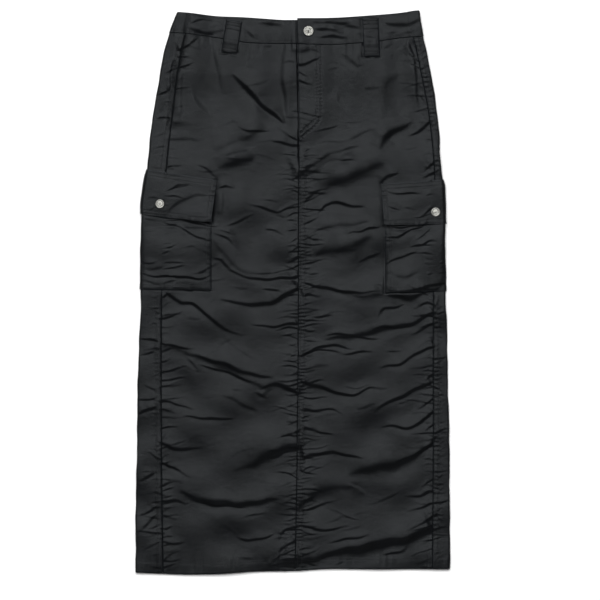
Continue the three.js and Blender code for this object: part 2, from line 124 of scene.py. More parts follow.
# Creases of the front by their shadow lines, x and y in turn; the cloth is high on the line's left
CREASES = [
    # waistband
    (FIRM, -165, 449, -150, 457, -134, 451), (FINE, -136, 440, -122, 444), (FIRM, -83, 444, -62, 422),
    ((6, 11, 30), -56, 448, -16, 443), (HOLLOW, 37, 438, 86, 433), ((7, 9, 26), 32, 450, 62, 447, 104, 451),
    (DEEP, 42, 424, 92, 426), ((6, 9, 26), 88, 446, 116, 438), ((6, 11, 30), 152, 449, 186, 445, 216, 452),
    (FINE, 152, 432, 176, 436), (FINE, 186, 432, 208, 436), ((6, 11, 30), -164, 437, -134, 431, -110, 436),
    # left front above the pocket
    (DEEP, -187, 403, -172, 413, -156, 426), (FIRM, -190, 390, -171, 393),
    (DEEP, -190, 372, -178, 376, -165, 383), (SOFT, -136, 417, -126, 372, -113, 329),
    (SOFT, -73, 411, -75, 374), (SOFT, -136, 294, -161, 324, -167, 344),
    (HOLLOW, -102, 364, -60, 322, -16, 281), (DEEP, -62, 320, -40, 300, -14, 278), ((9.5, 38, 64), -130, 234, -92, 250, -44, 272),
    ((9, 24, 50), -124, 204, -92, 214, -60, 228),
    ((9, 24, 50), -177, 462, -186, 400, -197, 340, -207, 290), ((4.5, 5, 14), -203, 346, -200, 380),
    ((4.5, 12, 34), -14, 416, -18, 370, -14, 330, -11, 272),
    (FIRM, -92, 276, -72, 270, -36, 268),
    (SOFT, -201, 253, -151, 255), (SOFT, -186, 300, -182, 362), (FIRM, -24, 272, -6, 262, 12, 254),
    (DEEP, -34, 251, -14, 247, 8, 246), (SOFT, -61, 246, -96, 232, -132, 226),
    # right front above the pocket
    (DEEP, 13, 380, 28, 384, 46, 391), (FIRM, 12, 367, 25, 361), (FIRM, 13, 353, 35, 347),
    (FINE, 12, 389, 22, 389), (SOFT, 79, 399, 99, 385, 109, 377, 118, 381),
    (SOFT, 151, 404, 164, 416), (FINE, 200, 421, 206, 407), (FIRM, 196, 396, 208, 385),
    (FIRM, 200, 380, 212, 373), (FINE, 214, 331, 222, 314), ((5, 9, 30), 211, 300, 209, 331, 205, 376, 196, 410),
    ((2.2, 20, 40), 154, 292, 158, 342, 184, 368), (FIRM, 30, 404, 45, 399), (FACET, 8, 402, 28, 404, 50, 410),
    ((11, 19, 60), 14, 198, 44, 216, 64, 228, 88, 238, 114, 244), (FACET, 30, 196, 62, 216, 98, 228),
    ((9, 16, 50), 146, 236, 158, 258, 174, 270, 200, 284), ((12, 34, 66), 56, 174, 110, 196, 156, 214), (SOFT, 45, 247, 69, 250, 96, 254, 116, 265, 139, 269),
    (FINE, 31, 268, 52, 269, 64, 273, 78, 281), (DEEP, 192, 262, 208, 264, 226, 281),
    (SOFT, 119, 339, 146, 341), (SOFT, 59, 369, 76, 372), (SOFT, 88, 300, 80, 318, 77, 340),
    # left front beside the pocket
    ((6, 5, 16), -127, 171, -112, 176, -98, 171), (SOFT, -114, 130, -116, 166),
    (FIRM, -124, 105, -112, 99, -99, 93), (FIRM, -132, 101, -108, 87, -94, 71),
    (FIRM, -133, 57, -120, 53, -108, 40, -93, 30),
    (SOFT, -137, 92, -114, 60, -92, 40, -50, 30, -8, 32),
    (DEEP, -108, 36, -90, 30, -47, 21, -14, 22, 8, 27), (FIRM, -54, 6, -36, 4, -12, -3),
    (FIRM, -158, 213, -144, 209, -134, 197, -127, 190), (FIRM, -208, 208, -192, 209, -184, 213),
    (FIRM, -72, 145, -54, 145, -39, 137, -23, 132, -13, 136), (FINE, -50, 156, -20, 150),
    (FIRM, -46, 106, -30, 101, -14, 94), (FIRM, -9, 176, 8, 176), (FIRM, -11, 101, 4, 103),
    (FIRM, -8, 66, 8, 76), (FIRM, -9, 49, 8, 58),
    ((2.4, 10, 22), -117, 124, -116, 150, -115, 180),
    # right front beside the pocket
    (DEEP, 77, 220, 96, 222, 107, 218), (SOFT, 22, 194, 38, 201, 73, 200),
    (FACET, 40, 104, 84, 110, 128, 118), (FIRM, 25, 158, 38, 166, 58, 164),
    (DEEP, 42, 129, 55, 145, 76, 147, 102, 144, 123, 143), (DEEP, 147, 179, 157, 193, 175, 199),
    (DEEP, 89, 97, 101, 103, 114, 101, 127, 106, 145, 107), (FIRM, 25, 94, 38, 87, 53, 85),
    (SOFT, 67, 67, 106, 72), ((12, 34, 66), 34, 60, 84, 72, 134, 92), (FIRM, 112, 51, 133, 57, 145, 65),
    (FIRM, 25, 30, 46, 31), (FINE, 25, 64, 35, 64), (DEEP, 217, 187, 231, 195, 237, 199),
    (DEEP, 219, 197, 237, 217), (DEEP, 24, 15, 46, 8, 61, 4, 78, 2, 118, 0, 150, 0),
    (FIRM, 22, -5, 34, -4, 46, -9), (SOFT, 138, 14, 150, 6, 168, 3),
    # pockets
    ((6.5, 6, 22), -215, 122, -170, 116.5, -138, 111.5, -124, 112), ((4, 4, 18), 146, 109, 180, 109, 214, 111, 240, 112),
    (FIRM, -217, 120, -189, 107, -162, 94, -138, 87), (SOFT, -245, 41, -211, 40),
    (TUCK, -252, 31, -220, 27, -181, 24, -150, 24, -132, 30), (FINE, -246, 22, -228, 16, -212, 15),
    (FINE, -251, 6, -232, 6), (FIRM, 152, 90, 174, 93, 188, 101, 207, 106, 224, 110),
    (FIRM, 194, 75, 213, 77, 227, 84, 241, 84), (FIRM, 158, 48, 174, 57, 191, 63, 208, 64),
    ((7, 6, 34), 172, 0, 199, 2, 217, 4, 230, 10, 256, 15), (SOFT, 165, 30, 190, 26, 214, 33),
    # flaps
    (FIRM, -206, 169, -192, 177, -172, 178), (SOFT, -210, 134, -188, 148, -168, 158, -143, 163),
    (FIRM, 157, 166, 182, 164, 199, 167, 214, 164), (FIRM, 157, 142, 182, 137), (FINE, 184, 142, 205, 139),
    # left front below the pocket
    (HOLLOW, -122, -12, -108, -15, -91, -21, -66, -20, -34, -18, -14, -8, 8, 6),
    (FACET, -206, -92, -160, -110, -131, -123, -84, -143, -30, -166),
    (DEEP, -208, -4, -186, -19, -167, -21, -142, -38, -116, -61, -80, -75),
    (FIRM, -218, -42, -202, -40, -181, -31), (FIRM, -68, -52, -47, -55, -31, -58, -13, -56, 4, -54),
    (FIRM, -216, -84, -202, -88, -188, -94, -162, -95),
    (HOLLOW, -170, -105, -157, -106, -116, -121, -91, -131, -69, -136, -32, -145),
    (FIRM, -157, -119, -134, -127, -112, -135, -86, -143, -68, -151),
    (HOLLOW, -54, -161, -39, -157, -18, -157, 7, -167), (FIRM, -62, -165, -42, -177),
    (FIRM, -176, -109, -164, -121, -157, -132), (FIRM, -216, -182, -202, -183, -190, -189, -162, -197),
    (FIRM, -185, -209, -159, -209, -114, -211, -97, -214), (SOFT, -216, -196, -193, -202),
    (DEEP, -17, -244, -7, -238, 8, -231), (SOFT, -120, -172, -90, -184, -58, -198),
    # right front below the pocket
    (DEEP, 200, -27, 213, -23, 225, -19, 236, -23), (FIRM, 167, -8, 189, -4),
    ((9.5, 13, 50), 150, -3, 184, -8, 206, -8, 236, 2, 252, 12), (FACET, 80, 0, 118, -8, 152, -6), (FIRM, 143, -45, 152, -28, 171, -26, 185, -18),
    (FIRM, 33, -41, 52, -40, 67, -41), (FIRM, 54, -73, 77, -71, 96, -71, 122, -76, 147, -80),
    ((7.5, 12, 50), 52, -80, 90, -75, 128, -69, 160, -61, 200, -50), (DEEP, 16, -104, 40, -94, 66, -90, 106, -94),
    (DEEP, 134, -63, 157, -59, 182, -58, 202, -51, 232, -36), (FIRM, 198, -70, 215, -63, 232, -55),
    (FIRM, 21, -101, 34, -98, 52, -97, 69, -99, 86, -104),
    (FIRM, 84, -104, 106, -99, 133, -100), (DEEP, 145, -128, 161, -122, 181, -118, 207, -103, 234, -94),
    (SOFT, 23, -127, 62, -123), (DEEP, 16, -149, 50, -162, 91, -171, 109, -169, 130, -161, 159, -161),
    (DEEP, 139, -201, 151, -189, 184, -173, 204, -164, 227, -153), (FIRM, 219, -149, 233, -138),
    (FIRM, 21, -193, 37, -196, 53, -198, 69, -196, 84, -204),
    (DEEP, 145, -227, 161, -223, 184, -226, 201, -223, 215, -218, 233, -202),
    (FIRM, 209, -199, 233, -180), (FIRM, 219, -234, 235, -222),
    (FIRM, 21, -226, 37, -229, 52, -236, 70, -240),
    # left front near the hem
    (DEEP, -218, -250, -207, -256, -197, -262, -169, -263, -154, -259),
    (HOLLOW, -38, -262, -23, -266, -9, -262, 8, -259), (FIRM, -35, -277, -19, -274, -13, -267),
    ((7, 20, 50), -96, -300, -62, -286, -38, -272, 4, -258), (FIRM, -216, -283, -204, -291, -191, -298, -168, -310),
    (SOFT, -217, -321, -206, -317, -182, -319),
    ((9, 14, 54), -190, -332, -169, -341, -144, -348, -99, -354, -67, -352, -22, -346),
    (DEEP, -170, -344, -144, -352, -121, -357, -80, -357), (FIRM, -216, -348, -195, -349, -181, -354, -172, -349),
    (FINE, -213, -372, -191, -381), (FIRM, -213, -416, -199, -419, -180, -419),
    (DEEP, -22, -415, -17, -406, -9, -396, 6, -392), (DEEP, -24, -452, -21, -434, -14, -426, 2, -417),
    (FIRM, -93, -409, -76, -414, -45, -408, -30, -404), (SOFT, -92, -445, -66, -444), (FINE, -35, -455, -22, -455),
    # right front near the hem
    (DEEP, 21, -274, 34, -270, 55, -269, 76, -270, 97, -272, 121, -276),
    (DEEP, 172, -284, 186, -278, 204, -270, 218, -264, 229, -256, 235, -245),
    ((12, 26, 60), 92, -303, 122, -298, 147, -295, 178, -288, 218, -268), (FIRM, 20, -295, 29, -291, 46, -293),
    (BROAD, 20, -352, 60, -330, 110, -322), (FIRM, 122, -339, 109, -325, 93, -315),
    (FIRM, 190, -341, 213, -341, 232, -333), (FIRM, 21, -361, 41, -359, 55, -352, 70, -349),
    (FINE, 19, -345, 28, -343), (FIRM, 190, -366, 215, -360, 232, -353),
    (FIRM, 18, -388, 29, -389, 41, -396, 55, -399, 79, -393, 98, -388),
    (HOLLOW, 20, -449, 47, -443, 72, -435, 99, -427, 127, -421, 157, -416, 184, -412, 226, -396),
    ((13, 30, 60), 0, -452, 50, -444, 119, -432, 170, -422, 224, -404), (FIRM, 60, -420, 96, -410, 130, -404),
    (FIRM, 148, -439, 174, -435, 186, -429, 193, -420), (DEEP, 191, -397, 207, -391, 220, -384, 236, -373),
    (FINE, 68, -457, 84, -449),
    # strips outside the side seams
    (FIRM, -225, 328, -207, 338), (FIRM, -228, 292, -207, 291), (FIRM, -255, -78, -228, -80),
    (FIRM, -255, -105, -233, -99), (FIRM, -258, -182, -231, -176), (DEEP, -257, -207, -246, -198, -231, -191),
    (FIRM, -256, -315, -233, -303), (FIRM, -259, -375, -246, -369, -231, -359),
    (FIRM, -254, -401, -244, -390, -230, -373), (FINE, 238, -60, 256, -58), (FIRM, 238, -112, 258, -106),
    (FINE, 238, -172, 259, -170), (FIRM, 238, -236, 260, -226), (FINE, 238, -300, 260, -296),
    (FIRM, 237, -352, 261, -344), (FINE, 237, -408, 261, -404), (FINE, 215, 372, 226, 376),
    (FINE, 229, 296, 241, 300), (FINE, -213, 366, -194, 372),
]
SMALL_CREASES = 130  # short ones strewn between the large ones


# Shape functions in common with the solids
def smoothstep(value, low, high):
    t = np.clip((value - low) / (high - low), 0, 1)
    return t * t * (3 - 2 * t)


def lerp(start, end, t):
    return start + (end - start) * t


def curve_through(table, key, column):
    """Smooth value of a table's column, a cubic through its rows."""
    keys = np.array(table[key], float)
    values = np.array(table[column], float)
    slopes = np.empty_like(values)
    slopes[1:-1] = (values[2:] - values[:-2]) / (keys[2:] - keys[:-2])
    slopes[0] = (values[1] - values[0]) / (keys[1] - keys[0])
    slopes[-1] = (values[-1] - values[-2]) / (keys[-1] - keys[-2])

    def value(at):
        place = np.clip(at, keys[0], keys[-1])
        row = np.clip(np.searchsorted(keys, place) - 1, 0, len(keys) - 2)
        span = keys[row + 1] - keys[row]
        t = (place - keys[row]) / span
        ends = (1 + 2 * t) * (1 - t) ** 2 * values[row] + t * t * (3 - 2 * t) * values[row + 1]
        return ends + span * t * (1 - t) * ((1 - t) * slopes[row] - t * slopes[row + 1])

    return value


SECTION = {name: curve_through(SECTIONS, "y", name) for name in SECTIONS if name != "y"}
FRONT_EDGE = {name: curve_through(FRONT_EDGES, "x", name) for name in ("hem", "seam", "top")}
BACK_EDGE = {name: curve_through(BACK_EDGES, "x", name) for name in ("hem", "seam", "top")}


def outline(side, y):
    return np.abs(SECTION["left" if side < 0 else "right"](y))


def side_seam(side, y):
    return np.abs(SECTION["left_seam" if side < 0 else "right_seam"](y))


def in_zone(y, low, high, ramp=50):
    return smoothstep(y, low - ramp, low) * (1 - smoothstep(y, high, high + ramp))


def side_layers(y):
    return LAYER * (in_zone(y, -22, 224) + in_zone(y, 96, 224))


def stack_under(x, y):
    return smoothstep(np.abs(x), 56, 106) * side_layers(y) + LOOP_STACK * in_zone(y, 372, 1000)


def flat_end(side, y):
    return outline(side, y) - side_layers(y) - FOLD_RADIUS


def is_step(y):
    return smoothstep(y, FLY_BOTTOM - 40, FLY_BOTTOM - 10)


def is_fly(y):
    return smoothstep(y, FLY_BOTTOM, FLY_BOTTOM + 20)


# Relief of the cloth
def rounded_line(points, spacing=6):
    """Points of a crease's line, with smooth bends."""
    given = np.array(points, float).reshape(-1, 2)
    ends = [2 * given[0] - given[1], *given, 2 * given[-1] - given[-2]]
    line = []
    for a, b, c, d in zip(ends, ends[1:], ends[2:], ends[3:]):
        steps = max(2, int(np.linalg.norm(c - b) / spacing))
        for t in np.arange(steps) / steps:
            bend = (2 * a - 5 * b + 4 * c - d) * t * t + (3 * b - a - 3 * c + d) * t**3
            line.append(0.5 * (2 * b + (c - a) * t + bend))
    line.append(given[-1])
    return np.array(line)


def beside_line(x, y, line, reach):
    """Points near a line: which they are, how far to its left, how far along it from 0 to 1,
    how far past its ends, and the line's length."""
    low = line.min(0) - reach
    high = line.max(0) + reach
    near = np.flatnonzero((x > low[0]) & (x < high[0]) & (y > low[1]) & (y < high[1]))
    start = line[:-1]
    step = line[1:] - start
    length = np.linalg.norm(step, axis=1)
    from_x = x[near, None] - start[:, 0]
    from_y = y[near, None] - start[:, 1]
    place = (from_x * step[:, 0] + from_y * step[:, 1]) / length**2
    t = np.clip(place, 0, 1)
    away = np.hypot(from_x - t * step[:, 0], from_y - t * step[:, 1])
    nearest = away.argmin(1) if near.size else np.zeros(0, int)
    rows = np.arange(near.size)
    across = step[nearest, 0] * from_y[rows, nearest] - step[nearest, 1] * from_x[rows, nearest]
    across /= length[nearest]
    place = place[rows, nearest]
    before = np.where(nearest == 0, np.maximum(-place, 0), 0)
    after = np.where(nearest == len(length) - 1, np.maximum(place - 1, 0), 0)
    past_end = (before + after) * length[nearest]
    beside = np.where(past_end > 0, across, np.sign(across) * away[rows, nearest])
    done = np.concatenate([[0], np.cumsum(length)])
    along = (done[nearest] + t[rows, nearest] * length[nearest]) / done[-1]
    return near, beside, along, past_end, done[-1]


def at_seam(x, y):
    """Whether a crease that ends here runs into a seam, where it is deepest."""
    if abs(x - float(SECTION["centre"](y))) < 15:
        return True
    by_side = min(abs(x + float(side_seam(-1, y))), abs(x - float(side_seam(1, y))))
    return by_side < 15 and not 0 < y < 190


def add_crease(relief, x, y, crease, turn):
    """Adds one crease to the heights: a steep side that faces the hem, between two gentle ones."""
    tall, steep, gentle = crease[0]
    line = rounded_line(crease[1:], 5 + 0.15 * gentle)
    near, beside, along, past_end, length = beside_line(x, y, line, gentle)
    if not near.size:
        return
    # pointed at its free ends, and open at an end that a seam holds
    low, high = (0.42 if at_seam(*end) else 0 for end in (line[0], line[-1]))
    hump = np.sin(math.pi * lerp(low, 1 - high, along))
    hump *= np.exp(-((past_end / (2 + 0.4 * steep)) ** 2))
    uneven = 1 + 0.2 * np.sin(7 * along + turn) + 0.12 * np.sin(17 * along + 2.3 * turn)
    size = tall * uneven * np.maximum(hump, 0) ** 0.75 * (0.55 + 0.45 * min(1, length / 80))
    wide = steep * (0.5 + 0.65 * hump)
    above = min(gentle, 0.75 * length) * (0.4 + 0.6 * hump)
    fade = np.clip(1 - np.abs(beside) / np.where(beside > 0, above, 0.6 * above), 0, 1) ** 2
    relief[near] += size * fade * np.where(beside > 0, 0.64, 0.36) * np.tanh(beside / (0.42 * wide))


def strewn_creases(count):
    """Short fine creases between the large ones, most of them across the skirt."""
    rng = np.random.default_rng(11)
    made = []
    for _ in range(count):
        x = rng.uniform(-245, 245)
        y = rng.uniform(-455, 465)
        half = rng.uniform(8, 30)
        lean = rng.normal(0, 0.35)
        bow = rng.normal(0, 3)
        kind = (0.4 + 1.5 * rng.uniform() ** 2, rng.uniform(2, 5), rng.uniform(10, 22))
        made.append((kind, x - half, y - half * lean, x, y + bow, x + half, y + half * lean))
    return made


def seam_creases():
    """Short creases that run off each seam, where its stitches have drawn it in."""
    rng = np.random.default_rng(23)
    made = []
    # the seam, which way the creases run off it, the free space beside it, spacing, longest,
    # their strength, and from where to where
    seams = [
        (SECTION["centre"], -1, 0, 6.5, 50, 1.15, -458, 235), (SECTION["centre"], 1, 11, 6.5, 46, 1.15, -458, 235),
        (SECTION["centre"], 1, 2, 10, 26, 0.5, 235, 345),
        (lambda y: -side_seam(-1, y), 1, 1, 13, 46, 1, -458, 190),
        (lambda y: -side_seam(-1, y), 1, 1, 21, 36, 0.8, 205, 400),
        (lambda y: -side_seam(-1, y), -1, 8, 19, 30, 0.7, -458, 400),
        (lambda y: side_seam(1, y), -1, 1, 12, 48, 1, -458, 190),
        (lambda y: side_seam(1, y), -1, 1, 19, 40, 0.8, 205, 400),
        (lambda y: side_seam(1, y), 1, 8, 9, 16, 0.8, -458, 400),
    ]
    for seam, way, space, spacing, longest, strength, y, top in seams:
        while y < top:
            length = longest * (0.2 + 0.8 * rng.uniform() ** 1.8)
            lean = rng.normal(0.1 * way, 0.24)
            start = float(seam(y)) + way * space
            points = [(start + way * length * t, y + lean * length * t) for t in (0, 0.5, 1)]
            points[1] = (points[1][0], points[1][1] + rng.normal(0, 1.4))
            kind = (strength * (0.9 + 2.6 * rng.uniform() ** 1.5), rng.uniform(1.8, 3), rng.uniform(7, 14))
            made.append((kind, *np.ravel(points[::way])))
            y += spacing * rng.uniform(0.55, 1.45)
    return made


ALL_CREASES = CREASES + seam_creases() + strewn_creases(SMALL_CREASES)


def undulation(x, y):
    """Long low swells, most of them across the skirt."""
    rng = np.random.default_rng(5)
    total = np.zeros_like(x)
    for _ in range(12):
        length = rng.uniform(46, 120)
        lean = rng.normal(0, 0.6)
        phase = rng.uniform(0, 2 * math.pi)
        place = x * math.sin(lean) + y * math.cos(lean)
        total += 0.42 * np.sin(2 * math.pi * place / length + phase + 0.9 * np.sin(x / 70 + phase))
    # under the waist the swells stand upright
    upright = smoothstep(y, 210, 300)
    swells = np.sin(x / 16 + 0.9 * np.sin(y / 60)) + 0.5 * np.sin(x / 8.3 - y / 70 + 1)
    return total * (1 - 0.75 * upright) + 1.1 * upright * swells


def pucker(along, away, reach, pitch, height, turn):
    """Small ripples that run off a seam, uneven in height, reach and spacing."""
    drift = 1.5 * np.sin(2 * math.pi * along / (6.3 * pitch) + turn)
    drift += 0.9 * np.sin(2 * math.pi * along / (2.9 * pitch) + 2 * turn)
    phase = 2 * math.pi * along / pitch + drift
    uneven = 0.6 + 0.4 * np.sin(2 * math.pi * along / (4.3 * pitch) + 3 * turn)
    here = reach * (0.68 + 0.32 * np.sin(2 * math.pi * along / (5.1 * pitch) + 5 * turn))
    wave = np.sin(phase) + 0.35 * np.sin(2 * phase + 0.7)
    return height * uneven * wave * np.exp(-((away / here) ** 2))


def edge_ripples(x, y):
    """Ripples beside the sewn lines at the hem and the waist."""
    above_hem = y - FRONT_EDGE["hem"](x)
    total = pucker(x, np.abs(above_hem - 15), 17, 15, 0.5, 1.7)
    return total + pucker(x, np.abs(FRONT_EDGE["seam"](x) - y), 19, 17, 0.5, 0.2)


def wander(x, y):
    """Moves points a little, so that no crease runs quite straight or smooth."""
    over = 1.2 * np.sin(y / 17 + 0.9 * np.sin(x / 29)) + 0.5 * np.sin(y / 6.7 + x / 23)
    up = 1.5 * np.sin(x / 13 + 0.8 * np.sin(y / 31)) + 0.8 * np.sin(x / 6.1 + y / 37 + 1)
    return x + over, y + up


def mirrored_relief(x, y):
    """Heights of the creases and swells alone, before they are limited."""
    flat_x, flat_y = wander(np.ravel(x), np.ravel(y))
    relief = undulation(flat_x, flat_y)
    for number, crease in enumerate(ALL_CREASES):
        add_crease(relief, flat_x, flat_y, crease, 1.7 * number)
    return relief.reshape(np.shape(x))


def seam_dips(x, y):
    """The cloth dips sharply into each seam."""
    total = -0.4 * (1 - is_step(y)) * np.exp(-(((x - SECTION["centre"](y)) / 0.8) ** 2))
    open_seams = (1 - in_zone(y, -4, 190, 2)) * smoothstep(FRONT_EDGE["seam"](x) - y, 0, 4)
    for side, deep in ((-1, 0.8), (1, 0.3)):
        total -= deep * open_seams * np.exp(-(((side * x - side_seam(side, y)) / 0.8) ** 2))
    return total - 0.2 * np.exp(-(((y - FRONT_EDGE["seam"](x)) / 0.8) ** 2))


def edge_lines():
    """Edges of the pieces that lie on the panels, each with its piece on the line's left,
    and how deep, how far off and how wide the hollow beside it is."""
    lines = []
    for top_x, top_y, bottom_x, bottom_y in FRONT_LOOPS.values():
        half = LOOP_WIDTH / 2
        lines.append(([top_x - half, top_y, bottom_x - half, bottom_y, bottom_x + half, bottom_y,
                       top_x + half, top_y], 1.4, 1.2, 1.2))
    for pocket in POCKETS.values():
        side = pocket["side"]
        for (low_x, high_x), low, high, hollow in (
            (pocket["flap_front"], pocket["flap_bottom"], pocket["flap_top"][0], (0.5 * pocket["lift"], 0, 3.8)),
            ((pocket["front"], pocket["front"]), pocket["bottom"], pocket["flap_bottom"][0], (1.2, 1.1, 1.1)),
        ):
            far_y = low[0] + low[1] * (246 - low_x)
            line = [(side * high_x, high), (side * low_x, low[0]), (side * 246, far_y)]
            lines.append((np.ravel(line if side > 0 else line[::-1]), *hollow))
    return [(np.array(line, float).reshape(-1, 2), *hollow) for line, *hollow in lines]


EDGE_LINES = edge_lines()


def pressed_edges(x, y):
    """Thin hollows beside the edges of the pieces that lie on the panels."""
    flat_x = np.ravel(x)
    flat_y = np.ravel(y)
    total = np.zeros_like(flat_x)
    for line, deep, off, wide in EDGE_LINES:
        near, beside, along, past_end, _ = beside_line(flat_x, flat_y, line, off + 3 * wide)
        # deepest at the lower front corner
        corner = np.exp(-(np.hypot(flat_x[near] - line[1, 0], flat_y[near] - line[1, 1]) / 55) ** 2)
        if off:
            across = np.exp(-(((beside + off) / wide) ** 2) - (past_end / 2) ** 2)
        else:
            # under a free edge the hollow falls on to the edge and a little past it
            away = np.maximum(-beside, 0) + np.maximum(beside - 2.5, 0)
            across = np.exp(-away / (wide * (0.35 + 0.8 * corner)) - (past_end / 2) ** 2)
        total[near] -= deep * (0.4 + 0.8 * corner) * across
    return total.reshape(np.shape(x))


def front_relief(x, y):
    total = MEAN_RISE + mirrored_relief(x, y) + edge_ripples(x, y)
    deep = -SHALLOWEST * np.tanh(np.maximum(-total, 0) / SHALLOWEST)
    high = TALLEST * np.tanh(np.maximum(total, 0) / TALLEST)
    return deep + high + seam_dips(x, y) + pressed_edges(x, y)


def back_relief(x, y):
    """Dents of the underside, like the front's creases turned round and pressed shallow."""
    clear = smoothstep(np.minimum(flat_end(-1, y), flat_end(1, y)) - np.abs(x), 2, 30)
    return clear * 1.5 * np.tanh(np.maximum(mirrored_relief(-x, y - 12), 0) / 3.2)


def fly_drop(x, y):
    return FLY_DROP * smoothstep(x - SECTION["centre"](y), -2.8, -0.6) * is_step(y)


def on_front(x, y, *offsets):
    """Points of the front's faces, one array for each height above it."""
    height = 2 * FOLD_RADIUS + stack_under(x, y) + front_relief(x, y)
    faces = [np.stack([x, y, height + offset], -1) for offset in offsets]
    return faces if len(faces) > 1 else faces[0]


def on_left_front(x, y, *offsets):
    drop = fly_drop(x, y)
    return on_front(x, y, *[offset - drop for offset in offsets])


def edge_wave(side, y):
    """How far the outline strays in and out along its length."""
    turn = 0.7 if side < 0 else 2.9
    wave = 0.45 * np.sin(y / 31 + turn) + 0.3 * np.sin(y / 12.3 + 2 * turn)
    return wave + 0.2 * np.sin(y / 5.9 + 3 * turn)


def on_skirt(side, around, y, *offsets):
    """Points by their distance round the cloth from the centre front line."""
    flat = flat_end(side, y)
    angle = np.clip((around - flat) / FOLD_RADIUS, 0, math.pi)
    front_x = side * np.minimum(around, flat)
    back_x = side * (2 * flat + TURN - around)
    under = around >= flat + TURN
    relief = np.zeros(around.shape)
    relief[~under] = front_relief(front_x[~under], y[~under])
    dents = np.zeros(around.shape)
    dents[under] = back_relief(back_x[under], y[under])
    rounded = FOLD_RADIUS + stack_under(front_x, y) + relief * (np.cos(angle) + 1) / 2
    faces = []
    for offset in offsets:
        radius = FOLD_RADIUS + offset
        out = (radius + edge_wave(side, y)) * np.sin(angle)
        x = np.where(under, back_x, side * (np.minimum(around, flat) + out))
        below = np.maximum(stack_under(back_x, y) - offset + dents, 0)
        z = np.where(under, below, np.maximum(rounded + radius * np.cos(angle), 0))
        faces.append(np.stack([x, y, z], -1))
    return faces if len(faces) > 1 else faces[0]


# Meshes
def linear(colour):
    """Linear red, green, blue and alpha of an sRGB hex colour."""
    parts = [int(colour[i:i + 2], 16) / 255 for i in (1, 3, 5)]
    return (*[p / 12.92 if p <= 0.04045 else ((p + 0.055) / 1.055) ** 2.4 for p in parts], 1)


def mesh_object(name, points, faces, material, smooth_under=50):
    mesh = bpy.data.meshes.new(name)
    mesh.from_pydata((np.asarray(points) * MM).tolist(), [], faces)
    mesh.materials.append(material)
    mesh.shade_smooth()
    mesh.set_sharp_from_angle(angle=math.radians(smooth_under))
    piece = bpy.data.objects.new(name, mesh)
    bpy.context.scene.collection.objects.link(piece)
    return piece


def grid_faces(index):
    quads = np.stack([index[:-1, :-1], index[1:, :-1], index[1:, 1:], index[:-1, 1:]], -1)
    return quads.reshape(-1, 4)


def borders(grid):
    """The four sides of a grid, in turn round it."""
    return [grid[:, 0], grid[-1, :], grid[::-1, -1], grid[0, ::-1]]


def shell(name, outer, inner, cloth_across, edge, material):
    """A closed wall from two grids of points, with its cloth position and rubbed edges kept.
    The inner face has every other column and row."""
    columns, rows = (np.unique(np.append(np.arange(0, n, 2), n - 1)) for n in outer.shape[:2])
    kept = np.ix_(columns, rows)
    index = np.arange(edge.size).reshape(edge.shape)
    inner_index = edge.size + np.arange(len(columns) * len(rows)).reshape(len(columns), len(rows))
    faces = grid_faces(index).tolist() + grid_faces(inner_index)[:, ::-1].tolist()
    for above, below, same in zip(borders(index), borders(inner_index), borders(index[kept])):
        place = np.searchsorted(above, same) if above[0] < above[-1] else None
        if place is None:
            place = len(above) - 1 - np.searchsorted(above[::-1], same)
        for k in range(len(below) - 1):
            between = above[place[k] + 1:place[k + 1] + 1][::-1]
            faces.append([above[place[k]], below[k], below[k + 1], *between])
    sides = np.cross(outer[1:, :-1] - outer[:-1, :-1], outer[:-1, 1:] - outer[:-1, :-1])
    if (sides * (outer - inner)[:-1, :-1]).sum() < 0:
        faces = [face[::-1] for face in faces]
    points = np.concatenate([outer.reshape(-1, 3), inner[kept].reshape(-1, 3)])
    piece = mesh_object(name, points, faces, material)
    mesh = piece.data
    corners = np.empty(len(mesh.loops), int)
    mesh.loops.foreach_get("vertex_index", corners)
    cloth = np.stack([cloth_across * np.ones(edge.shape), outer[..., 1]], -1) * MM
    cloth = np.concatenate([cloth.reshape(-1, 2), cloth[kept].reshape(-1, 2)])
    mesh.uv_layers.new(name="cloth").data.foreach_set("uv", cloth[corners].ravel())
    rub = np.exp(-((np.concatenate([edge.ravel(), edge[kept].ravel()]) / 1.6) ** 2))
    mesh.attributes.new("rub", "FLOAT", "POINT").data.foreach_set("value", rub)
    return piece


def rolled(edge, roll=0.55, over=1.4):
    """How far the outer face comes down beside an edge."""
    return roll * (1 - smoothstep(edge, 0, over))


def groove(distance, depth=0.28, width=0.9):
    return -depth * np.exp(-((distance / width) ** 2))


NEAR_EDGE = [0, 0.7, 1.5, 2.5, 3.8, 5.2, 6.6, 8, 9.5, 11, 12.5, 14.5]


def spread_columns(middle, near_start=NEAR_EDGE, near_end=NEAR_EDGE):
    """Columns as shares of their two edges and an offset in mm, closer together at both edges."""
    share = [0.0] * len(near_start)
    offset = list(near_start)
    for k in range(1, middle):
        t = k / middle
        share.append(t)
        offset.append((1 - t) * near_start[-1] - t * near_end[-1])
    share += [1.0] * len(near_end)
    offset += [-value for value in reversed(near_end)]
    return np.array(share)[:, None], np.array(offset)[:, None]


def edge_rows(rows, near=(0, 0.0022, 0.0045)):
    """Row positions from 0 to 1."""
    even = np.linspace(0, 1, rows + 1)
    return np.unique(np.concatenate([even, near, 1 - np.array(near)]))


PANEL_ROWS = edge_rows(620, (0, 0.0008))


